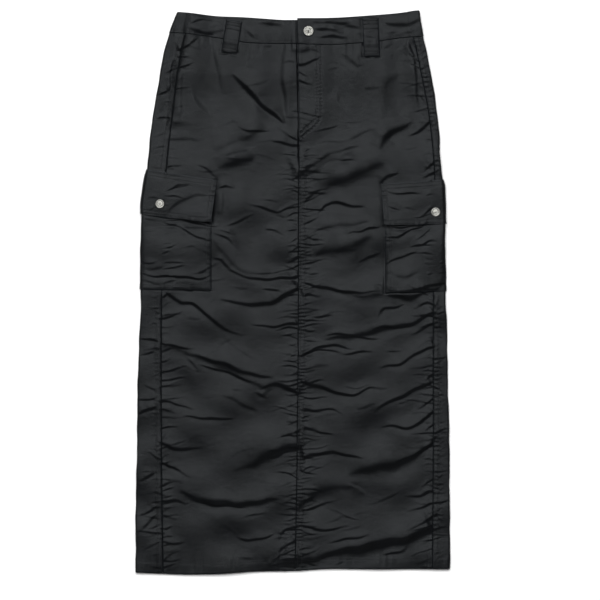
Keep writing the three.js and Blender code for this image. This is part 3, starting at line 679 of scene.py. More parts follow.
def front_panel(name, left, right, surface, lap, seam_detail, middle, material):
    share, offset = spread_columns(middle)
    lapped = np.zeros_like(share)
    if lap:
        share = np.concatenate([share, [[1.0], [1.0]]])
        offset = np.concatenate([offset[:-1], [[-0.6], [-0.4], [0.0]]])
        lapped = np.zeros_like(share)
        lapped[-3:, 0] = (0.15, 0.5, 1)

    def columns_at(y):
        return (1 - share) * left(y) + share * right(y) + offset + lapped * FLY_UNDERLAP * is_fly(y)

    hem = FRONT_EDGE["hem"](columns_at(np.full((1, 1), HEM_LEVEL)))
    seam = FRONT_EDGE["seam"](columns_at(np.full((1, 1), WAIST_LEVEL))) - SEAM_GAP / 2
    y = lerp(hem, seam, PANEL_ROWS[None, :])
    x = columns_at(y)
    sideways = np.minimum(x - left(y), np.where(lap, 9, 1) * np.abs(right(y) - x))
    edge = np.minimum(1.7 * sideways, y - hem)
    above_hem = y - hem
    detail = 0.3 * (1 - smoothstep(above_hem, 16.4, 17.8)) + groove(above_hem - 15.4)
    offset_out = detail + seam_detail(x, y) - rolled(edge)
    outer, inner = surface(x, y, offset_out, -CLOTH)
    return shell(name, outer, inner, x, edge, material)


def left_seam_edge(y):
    return -side_seam(-1, y) + SEAM_GAP / 2


def centre_left_edge(y):
    return SECTION["centre"](y) - SEAM_GAP / 2


def centre_right_edge(y):
    return SECTION["centre"](y) + SEAM_GAP / 2


def right_seam_edge(y):
    return side_seam(1, y) - SEAM_GAP / 2


# Rows of topstitching, as distances from their seams
CENTRE_ROWS = (3.6, 10.2)
SIDE_ROWS = (1.8, 8.2)
HEM_ROW = 15.4
BAND_ROWS = 3.2
POCKET_ROWS = (2.2, 8.2)
FLAP_ROWS = (2.2, 8)


def felled(distance, rows, high=0.42):
    """A felled seam: the allowance under the cloth lifts it, and its two rows draw it in."""
    lifted = high * (1 - smoothstep(distance, rows[1] + 0.9, rows[1] + 2.2))
    return lifted + groove(distance - rows[0]) + groove(distance - rows[1])


def ladder(y, distance, width, height=0.45, pitch=5.8):
    """Tiny cross ripples that the two rows of a felled seam draw into it."""
    inside = (1 - smoothstep(distance, width, width + 2)) * smoothstep(distance, -0.5, 1)
    drift = 1.3 * np.sin(y / 23) + 0.8 * np.sin(y / 9.7)
    uneven = 0.6 + 0.4 * np.sin(y / 14 + 2 * np.sin(y / 51))
    return height * inside * uneven * np.sin(2 * math.pi * y / pitch + drift)


def fly_row(inset):
    """The fly's topstitching, straight down from the waist and round to the centre seam."""
    x = 46.7 - inset
    return rounded_line([x, 411, x, 355, x, 297 + 0.3 * inset, x - 8, 279 + 0.6 * inset,
                         24 - 0.7 * inset, 266 + inset, 12.5, 257 + 1.1 * inset])


FLY_STITCHES = (fly_row(0), fly_row(6.4))


def right_seam_detail(x, y):
    distance = x - SECTION["centre"](y)
    detail = (1 - is_step(y)) * (felled(distance, CENTRE_ROWS) + ladder(y, distance, 11))
    flat = detail.ravel()
    for row in FLY_STITCHES:
        near, beside, along, past_end, _ = beside_line(x.ravel(), y.ravel(), row, 4)
        dotted = (1 + 0.5 * smoothstep(along, 0.6, 0.75)) * (1 + 0.7 * np.sin(along * 170))
        flat[near] += groove(beside, 0.7, 1.1) * (past_end < 0.5) * dotted
    return flat.reshape(x.shape)


def no_detail(x, y):
    return np.zeros_like(x)


def back_columns(strip):
    """Columns of a back panel: shares of its seam and of its flat end, and an offset."""
    rows = [(1, 0, value) for value in NEAR_EDGE]
    last = NEAR_EDGE[-1]
    for k in range(1, strip + 1):
        t = k / strip
        rows.append((1 - t, t, (1 - t) * last))
    for k in range(1, 10):
        rows.append((0, 1, TURN * k / 9))
    for k in range(1, 33):
        q = k / 32
        rows.append((0, 1 + q, TURN - SEAM_GAP / 2 * q))
    table = np.array(rows, float)
    return table[:, 0:1], table[:, 1:2], table[:, 2:3]


def edge_height(column, side, around, y):
    flat = flat_end(side, y)
    on_front_side = around <= flat + TURN / 2
    x = np.where(on_front_side, np.minimum(around, flat), np.minimum(2 * flat + TURN - around, flat))
    return np.where(on_front_side, FRONT_EDGE[column](side * x), BACK_EDGE[column](side * x))


def back_panel(name, side, material):
    from_seam, from_flat, offset = back_columns(10)

    def columns_at(y):
        return from_seam * (side_seam(side, y) + SEAM_GAP / 2) + from_flat * flat_end(side, y) + offset

    hem_at = columns_at(np.full((1, 1), HEM_LEVEL))
    seam_at = columns_at(np.full((1, 1), WAIST_LEVEL))
    hem = edge_height("hem", side, hem_at, HEM_LEVEL)
    seam = edge_height("seam", side, seam_at, WAIST_LEVEL) - SEAM_GAP / 2
    y = lerp(hem, seam, PANEL_ROWS[None, :])
    around = columns_at(y)
    distance = around - side_seam(side, y)
    centre_back = 2 * flat_end(side, y) + TURN - around
    edge = np.minimum(np.minimum(1.7 * distance, centre_back), y - hem)
    above_hem = y - hem
    detail = felled(distance, SIDE_ROWS) + ladder(y, distance, 9, 0.1 if side < 0 else 0.3, 7.3)
    detail += np.where(around < flat_end(side, y), 0.3, 0) * (1 - smoothstep(above_hem, 16.4, 17.8))
    outer, inner = on_skirt(side, around, y, detail - rolled(edge), -CLOTH)
    return shell(name, outer, inner, side * around, edge, material)


def front_band(name, left, right, surface, lap, top_of, middle, material):
    share, offset = spread_columns(middle)
    lapped = np.zeros_like(share)
    if lap:
        lapped[-3:, 0] = (0.15, 0.5, 1)

    def columns_at(y):
        return (1 - share) * left(y) + share * right(y) + offset + lapped * FLY_UNDERLAP * is_fly(y)

    seam = FRONT_EDGE["seam"](columns_at(np.full((1, 1), WAIST_LEVEL))) + SEAM_GAP / 2
    top = FRONT_EDGE["top"](top_of(columns_at(np.full((1, 1), TOP_LEVEL))))
    y = lerp(seam, top, edge_rows(22, (0, 0.015, 0.035))[None, :])
    x = columns_at(y)
    edge = np.minimum(2 * (y - seam), top - y)
    if not lap:
        edge = np.minimum(edge, 2 * (x - left(y)))
    rows = groove(y - seam - BAND_ROWS) + groove(top - y - BAND_ROWS)
    ripple = pucker(x, y - seam, 9, 12, 0.3, 1.1) + pucker(x, top - y, 8, 14, 0.25, 0.6)
    # the two layers of the band stand a little apart between their rows of stitches
    crown = 0.5 * np.sin(math.pi * np.clip((y - seam) / (top - seam), 0, 1))
    raised = BAND_RAISE + rows + ripple + crown - rolled(edge, 0.7, 2.2)
    outer, inner = surface(x, y, raised, -CLOTH)
    return shell(name, outer, inner, x, edge, material)


def back_band(name, material):
    from_seam, from_flat, offset = back_columns(8)
    halves = []
    for side in (-1, 1):

        def columns_at(y, side=side):
            return from_seam * (side_seam(side, y) + SEAM_GAP / 2) + from_flat * flat_end(side, y) + offset

        seam_at = columns_at(np.full((1, 1), WAIST_LEVEL))
        top_at = columns_at(np.full((1, 1), TOP_LEVEL))
        seam = edge_height("seam", side, seam_at, WAIST_LEVEL) + SEAM_GAP / 2
        top = edge_height("top", side, top_at, TOP_LEVEL)
        y = lerp(seam, top, edge_rows(18, (0, 0.015, 0.035))[None, :])
        around = columns_at(y)
        edge = np.minimum(2 * (y - seam), top - y)
        rows = groove(y - seam - BAND_ROWS) + groove(top - y - BAND_ROWS)
        raised = BAND_RAISE + rows - rolled(edge, 0.7, 2.2)
        outer, inner = on_skirt(side, around, y, raised, -CLOTH)
        halves.append((outer, inner, side * around, edge))
    left, right = halves
    # the two halves meet at the centre back in one cut of cloth
    whole = [np.concatenate([a[:-1], b[::-1]]) for a, b in zip(left, right)]
    round_left = left[2][-1:].copy()
    whole[2] = np.concatenate([left[2][:-1] - round_left, right[2][::-1] - right[2][-1:]])
    return shell(name, *whole, material)


def sloped(line, start, around):
    return line[0] + line[1] * (around - start)


def wrap_columns(front_steps, back_steps):
    """Columns of an applied piece: shares of its start, its flat end and its far end, and an offset."""
    rows = [(1, 0, 0, value) for value in NEAR_EDGE[:-1]]
    last = NEAR_EDGE[-2]
    for k in range(1, front_steps + 1):
        t = k / front_steps
        rows.append((1 - t, t, 0, (1 - t) * last))
    for k in range(1, 10):
        rows.append((0, 1, 0, TURN * k / 9))
    for k in range(1, back_steps + 1):
        q = k / back_steps
        rows.append((0, 1 - q, q, (1 - q) * TURN))
    table = np.array(rows, float)
    return [table[:, k:k + 1] for k in range(4)]


def pocket_puff(pocket, around, y):
    across = (around - pocket["front"]) / (flat_end(pocket["side"], y) - pocket["front"])
    bottom = pocket["bottom"][0]
    up = (y - bottom) / (pocket["flap_bottom"][0] - 8 - bottom)
    inside = (across > 0) & (across < 1) & (up > 0) & (up < 1)
    round_up = np.sin(math.pi * np.clip(across, 0, 1)) * np.sin(math.pi * np.clip(up, 0, 1))
    return np.where(inside, POCKET_PUFF * np.sqrt(np.maximum(round_up, 0)), 0)


def pocket_grid(pocket):
    start, flat_share, end, offset = wrap_columns(48, 16)
    far = pocket["front"] + pocket["width"]

    def columns_at(y):
        return start * pocket["front"] + flat_share * flat_end(pocket["side"], y) + end * far + offset

    level = columns_at(np.full((1, 1), float(pocket["bottom"][0])))
    bottom = sloped(pocket["bottom"], pocket["front"], level)
    top = sloped(pocket["flap_top"], pocket["flap_front"][1], level) - POCKET_TOP_TUCK
    y = lerp(bottom, top, edge_rows(120, (0, 0.005))[None, :])
    return columns_at(y), y, bottom, top, far


def pocket_panel(name, pocket, material):
    side = pocket["side"]
    around, y, bottom, top, far = pocket_grid(pocket)
    start = around - pocket["front"]
    edge = np.minimum(np.minimum(start, far - around), np.minimum(y - bottom, top - y))
    seams = np.minimum(start, y - bottom)
    rows = sum(groove(seams - row) for row in POCKET_ROWS)
    ripple = pucker(y, start, 12, 11, 0.35, 0.8) + pucker(around, y - bottom, 12, 12, 0.4, 2.2)
    lifted = 0.3 * (1 - smoothstep(seams, POCKET_ROWS[1] + 1, POCKET_ROWS[1] + 2.4))
    puff = pocket_puff(pocket, around, y)
    high = LAYER + puff + rows + lifted + ripple * (puff > 0) - rolled(edge, 0.6, 2)
    outer, inner = on_skirt(side, around, y, high, SEAM_GAP)
    return shell(name, outer, inner, side * around, edge, material)


def flap_grid(pocket, rows=54):
    start, flat_share, end, offset = wrap_columns(48, 16)
    t = edge_rows(rows, (0, 0.01, 0.025))[None, :]
    front = lerp(pocket["flap_front"][0], pocket["flap_front"][1], t)
    side = pocket["side"]

    def columns_at(y, front):
        far = front + pocket["flap_width"]
        return start * front + flat_share * flat_end(side, y) + end * far + offset

    middle = (pocket["flap_bottom"][0] + pocket["flap_top"][0]) / 2
    level = columns_at(np.full((1, 1), middle), sum(pocket["flap_front"]) / 2)
    bottom = sloped(pocket["flap_bottom"], pocket["flap_front"][0], level)
    top = sloped(pocket["flap_top"], pocket["flap_front"][1], level)
    y = lerp(bottom, top, t)
    # the free edges sag and stray a little
    y = y + (1 - t) * (0.7 * np.sin(level / 9) + 0.5 * np.sin(level / 21 + 1))
    around = columns_at(y, front)
    return around, y, bottom, top, front, t


def flap_offset(pocket, around, y, top, front, t):
    on_pocket = 1 - smoothstep(y, top - POCKET_TOP_TUCK + 1, top)
    across = (around - front) / (flat_end(pocket["side"], y) - front)
    corner = (1 - smoothstep(across, 0, 0.6)) * (1 - smoothstep(t, 0, 0.8))
    hanging = (1 - smoothstep(t, 0, 0.4)) * (1 - smoothstep(across, 0.8, 1))
    snap = np.exp(-(((across - 0.82) / 0.14) ** 2))
    loose = pocket["lift"] * corner + 2.4 * hanging * (1 - 0.8 * snap)
    swell = 0.9 * np.sin(math.pi * np.clip(across, 0, 1)) * np.sin(math.pi * np.clip(t, 0, 1))
    # the flap stays level over the hollows beside its edges
    side = pocket["side"]
    level = np.where(around < flat_end(side, y), -pressed_edges(side * around, y), 0)
    return SEAM_GAP + LAYER * on_pocket + loose + swell + level


def flap_panel(name, pocket, material):
    side = pocket["side"]
    around, y, bottom, top, front, t = flap_grid(pocket)
    inside = around - front
    far = front + pocket["flap_width"] - around
    edge = np.minimum(np.minimum(inside, far), np.minimum((y - bottom) + 1.2, top - y))
    edge = np.maximum(edge, 0)
    seams = np.minimum(inside, np.minimum(y - bottom, top - y))
    rows = sum(groove(seams - row) for row in FLAP_ROWS)
    ripple = pucker(y, inside, 13, 9.5, 0.5, 2.6) + pucker(around, y - bottom, 10, 12, 0.35, 0.3)
    offset = flap_offset(pocket, around, y, top, front, t)
    high = offset + FLAP_CLOTH + rows + ripple * (t < 0.9) - rolled(edge, 0.6, 2.2)
    outer, inner = on_skirt(side, around, y, high, offset)
    return shell(name, outer, inner, side * around, edge, material)


def loop_place(ends, aside, t):
    top_x, top_y, bottom_x, bottom_y = ends
    length = math.hypot(top_x - bottom_x, top_y - bottom_y)
    x = bottom_x + (top_x - bottom_x) * t + aside * (top_y - bottom_y) / length
    y = bottom_y + (top_y - bottom_y) * t - aside * (top_x - bottom_x) / length
    return x, y, length


def loop_offset(ends, t, length, seam_y):
    """A loop lies on the panel, steps up to the band and bows out a little over it."""
    band_start = (seam_y - 3 - ends[3]) / (ends[1] - ends[3])
    step = smoothstep(t, band_start - 8 / length, band_start)
    bow = np.maximum(np.sin(math.pi * np.clip((t - 0.16) / 0.76, 0, 1)), 0)
    return SEAM_GAP + BAND_RAISE * step + 0.6 * bow


LOOP_BARS = (0.06, 0.13, 0.72, 0.84, 0.93)


def belt_loop(name, ends, surface, seam_y, material, bow=1.0):
    across = np.array([0, 0.02, 0.05, 0.1, 0.18, 0.26, 0.34, 0.42, 0.5])
    across = np.unique(np.concatenate([across, 1 - across]))[:, None]
    t = edge_rows(44, (0, 0.008, 0.02))[None, :]
    aside = LOOP_WIDTH * (across - 0.5)
    x, y, length = loop_place(ends, aside, t)
    offset = loop_offset(ends, t, length, seam_y) * np.ones_like(x)
    offset = SEAM_GAP + (offset - SEAM_GAP) * bow
    edge = np.minimum(LOOP_WIDTH / 2 - np.abs(aside), length * np.minimum(t, 1 - t))
    drawn_in = sum(np.exp(-(((t - bar) * length / 1.5) ** 2)) for bar in LOOP_BARS)
    rows = groove(LOOP_WIDTH / 2 - np.abs(aside) - 2.6) - 0.25 * drawn_in
    swell = 0.5 * np.sin(math.pi * across)
    high = offset + LOOP_CLOTH + (rows + swell) * bow - rolled(edge, 0.9, 2)
    outer, inner = surface(x, y, high, offset)
    return shell(name, outer, inner, x, edge * np.ones_like(x), material)


def on_back(x, y, *offsets):
    """The underside, out of which a positive offset points down."""
    return [np.stack([x, y, np.maximum(stack_under(x, y) - offset, 0)], -1) for offset in offsets]


# Materials
def add_node(tree, kind, links=None, **settings):
    """Adds a node, sets its properties and inputs, and links other nodes' outputs to its inputs."""
    node = tree.nodes.new(kind)
    for name, value in settings.items():
        if hasattr(node, name):
            setattr(node, name, value)
        else:
            node.inputs[name.replace("_", " ")].default_value = value
    for name, source in (links or {}).items():
        tree.links.new(source, node.inputs[name])
    return node


def new_material(name):
    material = bpy.data.materials.new(name)
    material.use_nodes = True
    material.node_tree.nodes.clear()
    return material, material.node_tree


def finish_material(tree, shader):
    add_node(tree, "ShaderNodeOutputMaterial", {"Surface": shader.outputs["BSDF"]})


def ramp(tree, source, low, high, low_colour, high_colour):
    """Blends two colours over a range of a pattern's values."""
    node = add_node(tree, "ShaderNodeValToRGB", {"Fac": source})
    node.color_ramp.elements[0].position = low
    node.color_ramp.elements[1].position = high
    node.color_ramp.elements[0].color = low_colour
    node.color_ramp.elements[1].color = high_colour
    return node.outputs["Color"]


def grey(value):
    return (value, value, value, 1)


def woven_nylon(name, dark, light, worn):
    """Plain-woven nylon with a soft coating: dull black, a low broad sheen, lighter rubbed edges."""
    material, tree = new_material(name)
    cloth = add_node(tree, "ShaderNodeUVMap", uv_map="cloth").outputs["UV"]
    place = add_node(tree, "ShaderNodeTexCoord").outputs["Object"]
    # threads are 0.4 mm apart, and drawn 1.1 mm apart so that they show
    thread = 1.1 * MM
    parts = add_node(tree, "ShaderNodeSeparateXYZ", {"Vector": cloth})
    waves = []
    for axis in ("X", "Y"):
        turned = add_node(tree, "ShaderNodeMath", {0: parts.outputs[axis]}, operation="MULTIPLY")
        turned.inputs[1].default_value = 2 * math.pi / thread
        waves.append(add_node(tree, "ShaderNodeMath", {0: turned.outputs[0]}, operation="SINE"))
    weave = add_node(tree, "ShaderNodeMath", {0: waves[0].outputs[0], 1: waves[1].outputs[0]},
                     operation="MULTIPLY")
    patches = add_node(tree, "ShaderNodeTexNoise", {"Vector": place}, Scale=26, Detail=4, Roughness=0.6)
    crinkle = add_node(tree, "ShaderNodeMapping", {"Vector": place}, Scale=(0.6, 1, 1))
    crumple = add_node(tree, "ShaderNodeTexNoise", {"Vector": crinkle.outputs[0]}, Scale=120, Detail=3,
                       Roughness=0.55)
    slub = add_node(tree, "ShaderNodeTexNoise", {"Vector": cloth}, Scale=900, Detail=2, Roughness=0.6)
    rub = add_node(tree, "ShaderNodeAttribute", attribute_name="rub")
    shade = ramp(tree, patches.outputs["Fac"], 0.32, 0.7, linear(dark), linear(light))
    wear = add_node(tree, "ShaderNodeMath", {0: rub.outputs["Fac"], 1: slub.outputs["Fac"]},
                    operation="MULTIPLY")
    colour = add_node(tree, "ShaderNodeMix", data_type="RGBA")
    tree.links.new(wear.outputs[0], colour.inputs["Factor"])
    tree.links.new(shade, colour.inputs[6])
    colour.inputs[7].default_value = linear(worn)
    gloss = ramp(tree, crumple.outputs["Fac"], 0.3, 0.75, grey(0.35), grey(0.44))
    rough = add_node(tree, "ShaderNodeBump", {"Height": crumple.outputs["Fac"]}, Strength=0.4,
                     Distance=0.9 * MM)
    uneven = add_node(tree, "ShaderNodeBump", {"Height": slub.outputs["Fac"],
                                              "Normal": rough.outputs["Normal"]},
                      Strength=0.35, Distance=0.3 * MM)
    bump = add_node(tree, "ShaderNodeBump", {"Height": weave.outputs[0],
                                            "Normal": uneven.outputs["Normal"]},
                    Strength=0.4, Distance=0.12 * MM)
    shader = add_node(tree, "ShaderNodeBsdfPrincipled",
                      {"Base Color": colour.outputs[2], "Roughness": gloss,
                       "Normal": bump.outputs["Normal"]},
                      IOR=1.5, Specular_IOR_Level=0.11, Sheen_Weight=0.02, Sheen_Roughness=0.45)
    shader.inputs["Sheen Tint"].default_value = linear("#c8ccd0")
    shader.inputs["Specular Tint"].default_value = linear("#f2f8fc")
    finish_material(tree, shader)
    return material


def spun_thread(name, colour):
    """Polyester topstitching thread: twisted, so that each stitch catches a little light."""
    material, tree = new_material(name)
    place = add_node(tree, "ShaderNodeTexCoord").outputs["Object"]
    # a twist of 1.2 mm
    twist = add_node(tree, "ShaderNodeTexWave", {"Vector": place}, Scale=260, Distortion=2, Detail=1)
    shade = ramp(tree, twist.outputs["Fac"], 0.2, 0.9, linear(colour[0]), linear(colour[1]))
    bump = add_node(tree, "ShaderNodeBump", {"Height": twist.outputs["Fac"]}, Strength=0.5,
                    Distance=0.1 * MM)
    shader = add_node(tree, "ShaderNodeBsdfPrincipled",
                      {"Base Color": shade, "Normal": bump.outputs["Normal"]},
                      Roughness=0.5, IOR=1.5, Specular_IOR_Level=0.12, Sheen_Weight=0.03)
    finish_material(tree, shader)
    return material


def plated_nickel(name):
    """Pressed metal plated with satin nickel: a cool bright grey, dulled and scuffed by wear."""
    material, tree = new_material(name)
    place = add_node(tree, "ShaderNodeTexCoord").outputs["Object"]
    # scuffs of about 1 mm, pits of about 0.3 mm
    scuffs = add_node(tree, "ShaderNodeTexNoise", {"Vector": place}, Scale=900, Detail=4, Roughness=0.7)
    pits = add_node(tree, "ShaderNodeTexNoise", {"Vector": place}, Scale=3200, Detail=1)
    shade = ramp(tree, scuffs.outputs["Fac"], 0.3, 0.7, linear("#50504c"), linear("#a9a9a4"))
    gloss = ramp(tree, scuffs.outputs["Fac"], 0.3, 0.7, grey(0.5), grey(0.36))
    bump = add_node(tree, "ShaderNodeBump", {"Height": pits.outputs["Fac"]}, Strength=0.35,
                    Distance=0.08 * MM)
    shader = add_node(tree, "ShaderNodeBsdfPrincipled",
                      {"Base Color": shade, "Roughness": gloss, "Normal": bump.outputs["Normal"]},
                      Metallic=1.0)
    finish_material(tree, shader)
    return material


def matt_board(name):
    """Matt white backdrop board: pale, plain and very slightly uneven."""
    material, tree = new_material(name)
    place = add_node(tree, "ShaderNodeTexCoord").outputs["Object"]
    cloud = add_node(tree, "ShaderNodeTexNoise", {"Vector": place}, Scale=3, Detail=2)
    shade = ramp(tree, cloud.outputs["Fac"], 0.3, 0.7, linear("#f1f1f1"), linear("#f4f4f4"))
    shader = add_node(tree, "ShaderNodeBsdfPrincipled", {"Base Color": shade}, Roughness=0.9)
    finish_material(tree, shader)
    return material


NYLON = woven_nylon("charcoal woven nylon", "#08090a", "#0c0d0f", "#191c1f")
THREAD = spun_thread("black polyester thread", ("#08090a", "#15171a"))
NICKEL = plated_nickel("satin nickel plate")
BOARD = matt_board("matt white board")


# Stitches, made by Geometry Nodes along the sewn lines
def stitch_tree():
    tree = bpy.data.node_groups.new("topstitching", "GeometryNodeTree")
    tree.interface.new_socket("Geometry", in_out="INPUT", socket_type="NodeSocketGeometry")
    sizes = {"Pitch": 3.4, "Stitch length": 3.0, "Thread width": 0.75}
    for name, value in sizes.items():
        socket = tree.interface.new_socket(name, in_out="INPUT", socket_type="NodeSocketFloat")
        socket.default_value = value * MM
    tree.interface.new_socket("Material", in_out="INPUT", socket_type="NodeSocketMaterial")
    tree.interface.new_socket("Geometry", in_out="OUTPUT", socket_type="NodeSocketGeometry")
    given = add_node(tree, "NodeGroupInput").outputs
    curve = add_node(tree, "GeometryNodeMeshToCurve", {"Mesh": given["Geometry"]})
    points = add_node(tree, "GeometryNodeResampleCurve",
                      {"Curve": curve.outputs[0], "Length": given["Pitch"]}, mode="LENGTH")
    stitch = add_node(tree, "GeometryNodeMeshUVSphere", Segments=6, Rings=4, Radius=0.5)
    tangent = add_node(tree, "GeometryNodeInputTangent")
    turned = add_node(tree, "FunctionNodeAlignRotationToVector", {"Vector": tangent.outputs[0]}, axis="Z")
    size = add_node(tree, "ShaderNodeCombineXYZ",
                    {"X": given["Thread width"], "Y": given["Thread width"], "Z": given["Stitch length"]})
    placed = add_node(tree, "GeometryNodeInstanceOnPoints",
                      {"Points": points.outputs[0], "Instance": stitch.outputs["Mesh"],
                       "Rotation": turned.outputs[0], "Scale": size.outputs[0]})
    real = add_node(tree, "GeometryNodeRealizeInstances", {"Geometry": placed.outputs[0]})
    smooth = add_node(tree, "GeometryNodeSetShadeSmooth", {"Geometry": real.outputs[0]})
    dressed = add_node(tree, "GeometryNodeSetMaterial",
                       {"Geometry": smooth.outputs[0], "Material": given["Material"]})
    add_node(tree, "NodeGroupOutput", {"Geometry": dressed.outputs[0]})
    return tree


STITCHES = stitch_tree()


def sew(name, lines, pitch=3.4, length=3.0, width=0.75):
    """One mesh with a stitch at every step of the lines, each an array of points in mm."""
    points = np.concatenate(lines) * MM
    edges = []
    start = 0
    for line in lines:
        edges += [(start + k, start + k + 1) for k in range(len(line) - 1)]
        start += len(line)
    paths = bpy.data.meshes.new(name + "_paths")
    paths.from_pydata(points.tolist(), edges, [])
    carrier = bpy.data.objects.new(name + "_paths", paths)
    bpy.context.scene.collection.objects.link(carrier)
    modifier = carrier.modifiers.new("topstitching", "NODES")
    modifier.node_group = STITCHES
    sockets = {item.name: item.identifier for item in STITCHES.interface.items_tree
               if item.in_out == "INPUT"}
    modifier[sockets["Pitch"]] = pitch * MM
    modifier[sockets["Stitch length"]] = length * MM
    modifier[sockets["Thread width"]] = width * MM
    modifier[sockets["Material"]] = THREAD
    bpy.context.view_layer.update()
    evaluated = carrier.evaluated_get(bpy.context.evaluated_depsgraph_get())
    mesh = bpy.data.meshes.new_from_object(evaluated)
    mesh.name = name
    piece = bpy.data.objects.new(name, mesh)
    bpy.context.scene.collection.objects.link(piece)
    bpy.data.objects.remove(carrier)
    bpy.data.meshes.remove(paths)
    return piece


def steps_between(start, end, spacing=2.0):
    return np.linspace(start, end, max(2, int(abs(end - start) / spacing) + 1))


LIFT = 0.12  # a stitch's middle stands this much above the cloth


# Fasteners
def turned_cap(name, profile, diameter, height, place, pebbles, seed):
    """A pressed cap from its half profile, with a pebbled middle and plain rings round it."""
    rng = np.random.default_rng(seed)
    segments = 56
    rings = []
    for (r0, h0), (r1, h1) in zip(profile, profile[1:]):
        for t in (0, 0.5):
            rings.append((lerp(r0, r1, t), lerp(h0, h1, t)))
    rings.append(profile[-1])
    turn = np.arange(segments) * 2 * math.pi / segments
    points = []
    for r, h in rings:
        bumps = np.zeros(segments)
        if r < pebbles and h > 0.5:
            bumps = rng.uniform(-0.055, 0.055, segments)
        radius = r * diameter / 2
        ring = [radius * np.cos(turn), radius * np.sin(turn), (h + bumps) * height]
        points.append(np.stack(ring, -1))
    bottom = np.array([[0, 0, rings[0][1] * height]])
    top = np.array([[0, 0, rings[-1][1] * height]])
    body = np.concatenate(points)
    faces = []
    for k in range(len(rings) - 1):
        for s in range(segments):
            a = k * segments + s
            b = k * segments + (s + 1) % segments
            faces.append((a, b, b + segments, a + segments))
    last = len(body)
    for s in range(segments):
        after = (s + 1) % segments
        faces.append((after, s, last))
        faces.append(((len(rings) - 1) * segments + s, (len(rings) - 1) * segments + after, last + 1))
    points = np.concatenate([body, bottom, top]) + np.array(place)
    return mesh_object(name, points, faces, NICKEL, 40)


BUTTON_PROFILE = [
    (0.04, 0.0), (0.62, 0.0), (0.62, 0.3), (0.97, 0.36), (1.0, 0.55), (0.97, 0.8), (0.9, 0.97),
    (0.82, 1.0), (0.75, 0.93), (0.71, 0.8), (0.66, 0.8), (0.62, 0.88), (0.52, 0.9), (0.49, 0.82),
    (0.45, 0.82), (0.4, 0.88), (0.3, 0.91), (0.2, 0.93), (0.1, 0.94), (0.03, 0.94),
]
SNAP_PROFILE = [
    (0.04, 0.0), (0.9, 0.0), (1.0, 0.3), (0.98, 0.62), (0.92, 0.88), (0.82, 1.0), (0.72, 0.92),
    (0.66, 0.74), (0.6, 0.72), (0.56, 0.84), (0.46, 0.92), (0.34, 0.94), (0.3, 0.86), (0.2, 0.9),
    (0.1, 0.95), (0.03, 0.96),
]


# The skirt's pieces
pieces = {}
pieces["front_left"] = front_panel(
    "shell_front_left", left_seam_edge, centre_left_edge, on_left_front, True, no_detail, 76, NYLON)
pieces["front_right"] = front_panel(
    "shell_front_right", centre_right_edge, right_seam_edge, on_front, False, right_seam_detail, 76, NYLON)
pieces["back_left"] = back_panel("shell_back_left", -1, NYLON)
pieces["back_right"] = back_panel("shell_back_right", 1, NYLON)
pieces["waistband_front_left"] = front_band(
    "band_front_left", left_seam_edge, centre_left_edge, on_left_front, True,
    lambda x: np.minimum(x, LEFT_TOP_ENDS), 52, NYLON)
pieces["waistband_front_right"] = front_band(
    "band_front_right", centre_right_edge, right_seam_edge, on_front, False,
    lambda x: np.maximum(x, RIGHT_TOP_STARTS), 54, NYLON)
pieces["waistband_back"] = back_band("band_back", NYLON)
for which, pocket in POCKETS.items():
    pieces[f"pocket_{which}"] = pocket_panel(f"patch_pocket_{which}", pocket, NYLON)
    pieces[f"flap_{which}"] = flap_panel(f"pocket_flap_{which}", pocket, NYLON)
for which, ends in FRONT_LOOPS.items():
    seam_y = float(FRONT_EDGE["seam"](ends[2]))
    pieces[f"loop_front_{which}"] = belt_loop(f"belt_loop_front_{which}", ends, on_front, seam_y, NYLON)
for which, x in BACK_LOOPS.items():
    ends = (x, BACK_LOOP_ENDS[0], x, BACK_LOOP_ENDS[1])
    seam_y = float(BACK_EDGE["seam"](x))
    pieces[f"loop_back_{which}"] = belt_loop(f"belt_loop_back_{which}", ends, on_back, seam_y, NYLON, 0.4)

# Button and press-studs
button_face = float(on_front(np.array([BUTTON["x"]]), np.array([BUTTON["y"]]), BAND_RAISE)[0, 2])
pieces["button_waist"] = turned_cap(
    "waist_button", BUTTON_PROFILE, BUTTON["diameter"], BUTTON["height"],
    (BUTTON["x"], BUTTON["y"], button_face + 0.2), 0.64, 3)
for which, pocket in POCKETS.items():
    x, y = pocket["snap"]
    face = float(on_front(np.array([x]), np.array([y]), 2 * LAYER + SEAM_GAP + 0.6)[0, 2])
    pieces[f"snap_{which}"] = turned_cap(
        f"press_stud_{which}", SNAP_PROFILE, SNAP["diameter"], SNAP["height"], (x, y, face), 0.58, 8)

# Topstitching of the panels
panel_lines = []
y = steps_between(-462, 204)
for row in CENTRE_ROWS:
    panel_lines.append(on_front(SECTION["centre"](y) + row, y, 0.42 + LIFT))
for side in (-1, 1):
    for low, high in ((-460, -1 if side < 0 else -5), (190, 424)):
        y = steps_between(low, high)
        for row in SIDE_ROWS:
            panel_lines.append(on_skirt(side, side_seam(side, y) + row, y, 0.42 + LIFT))
x = steps_between(-214, float(SECTION["centre"](-460)) - 1)
panel_lines.append(on_front(x, FRONT_EDGE["hem"](x) + HEM_ROW, 0.3 + LIFT))
x = steps_between(float(SECTION["centre"](-460)) + 1, 232)
panel_lines.append(on_front(x, FRONT_EDGE["hem"](x) + HEM_ROW, 0.3 + LIFT))
# the fly's curved double row
for bend in FLY_STITCHES:
    panel_lines.append(on_front(bend[:, 0], bend[:, 1], LIFT))
stitches_panels = sew("stitches_panels", panel_lines)

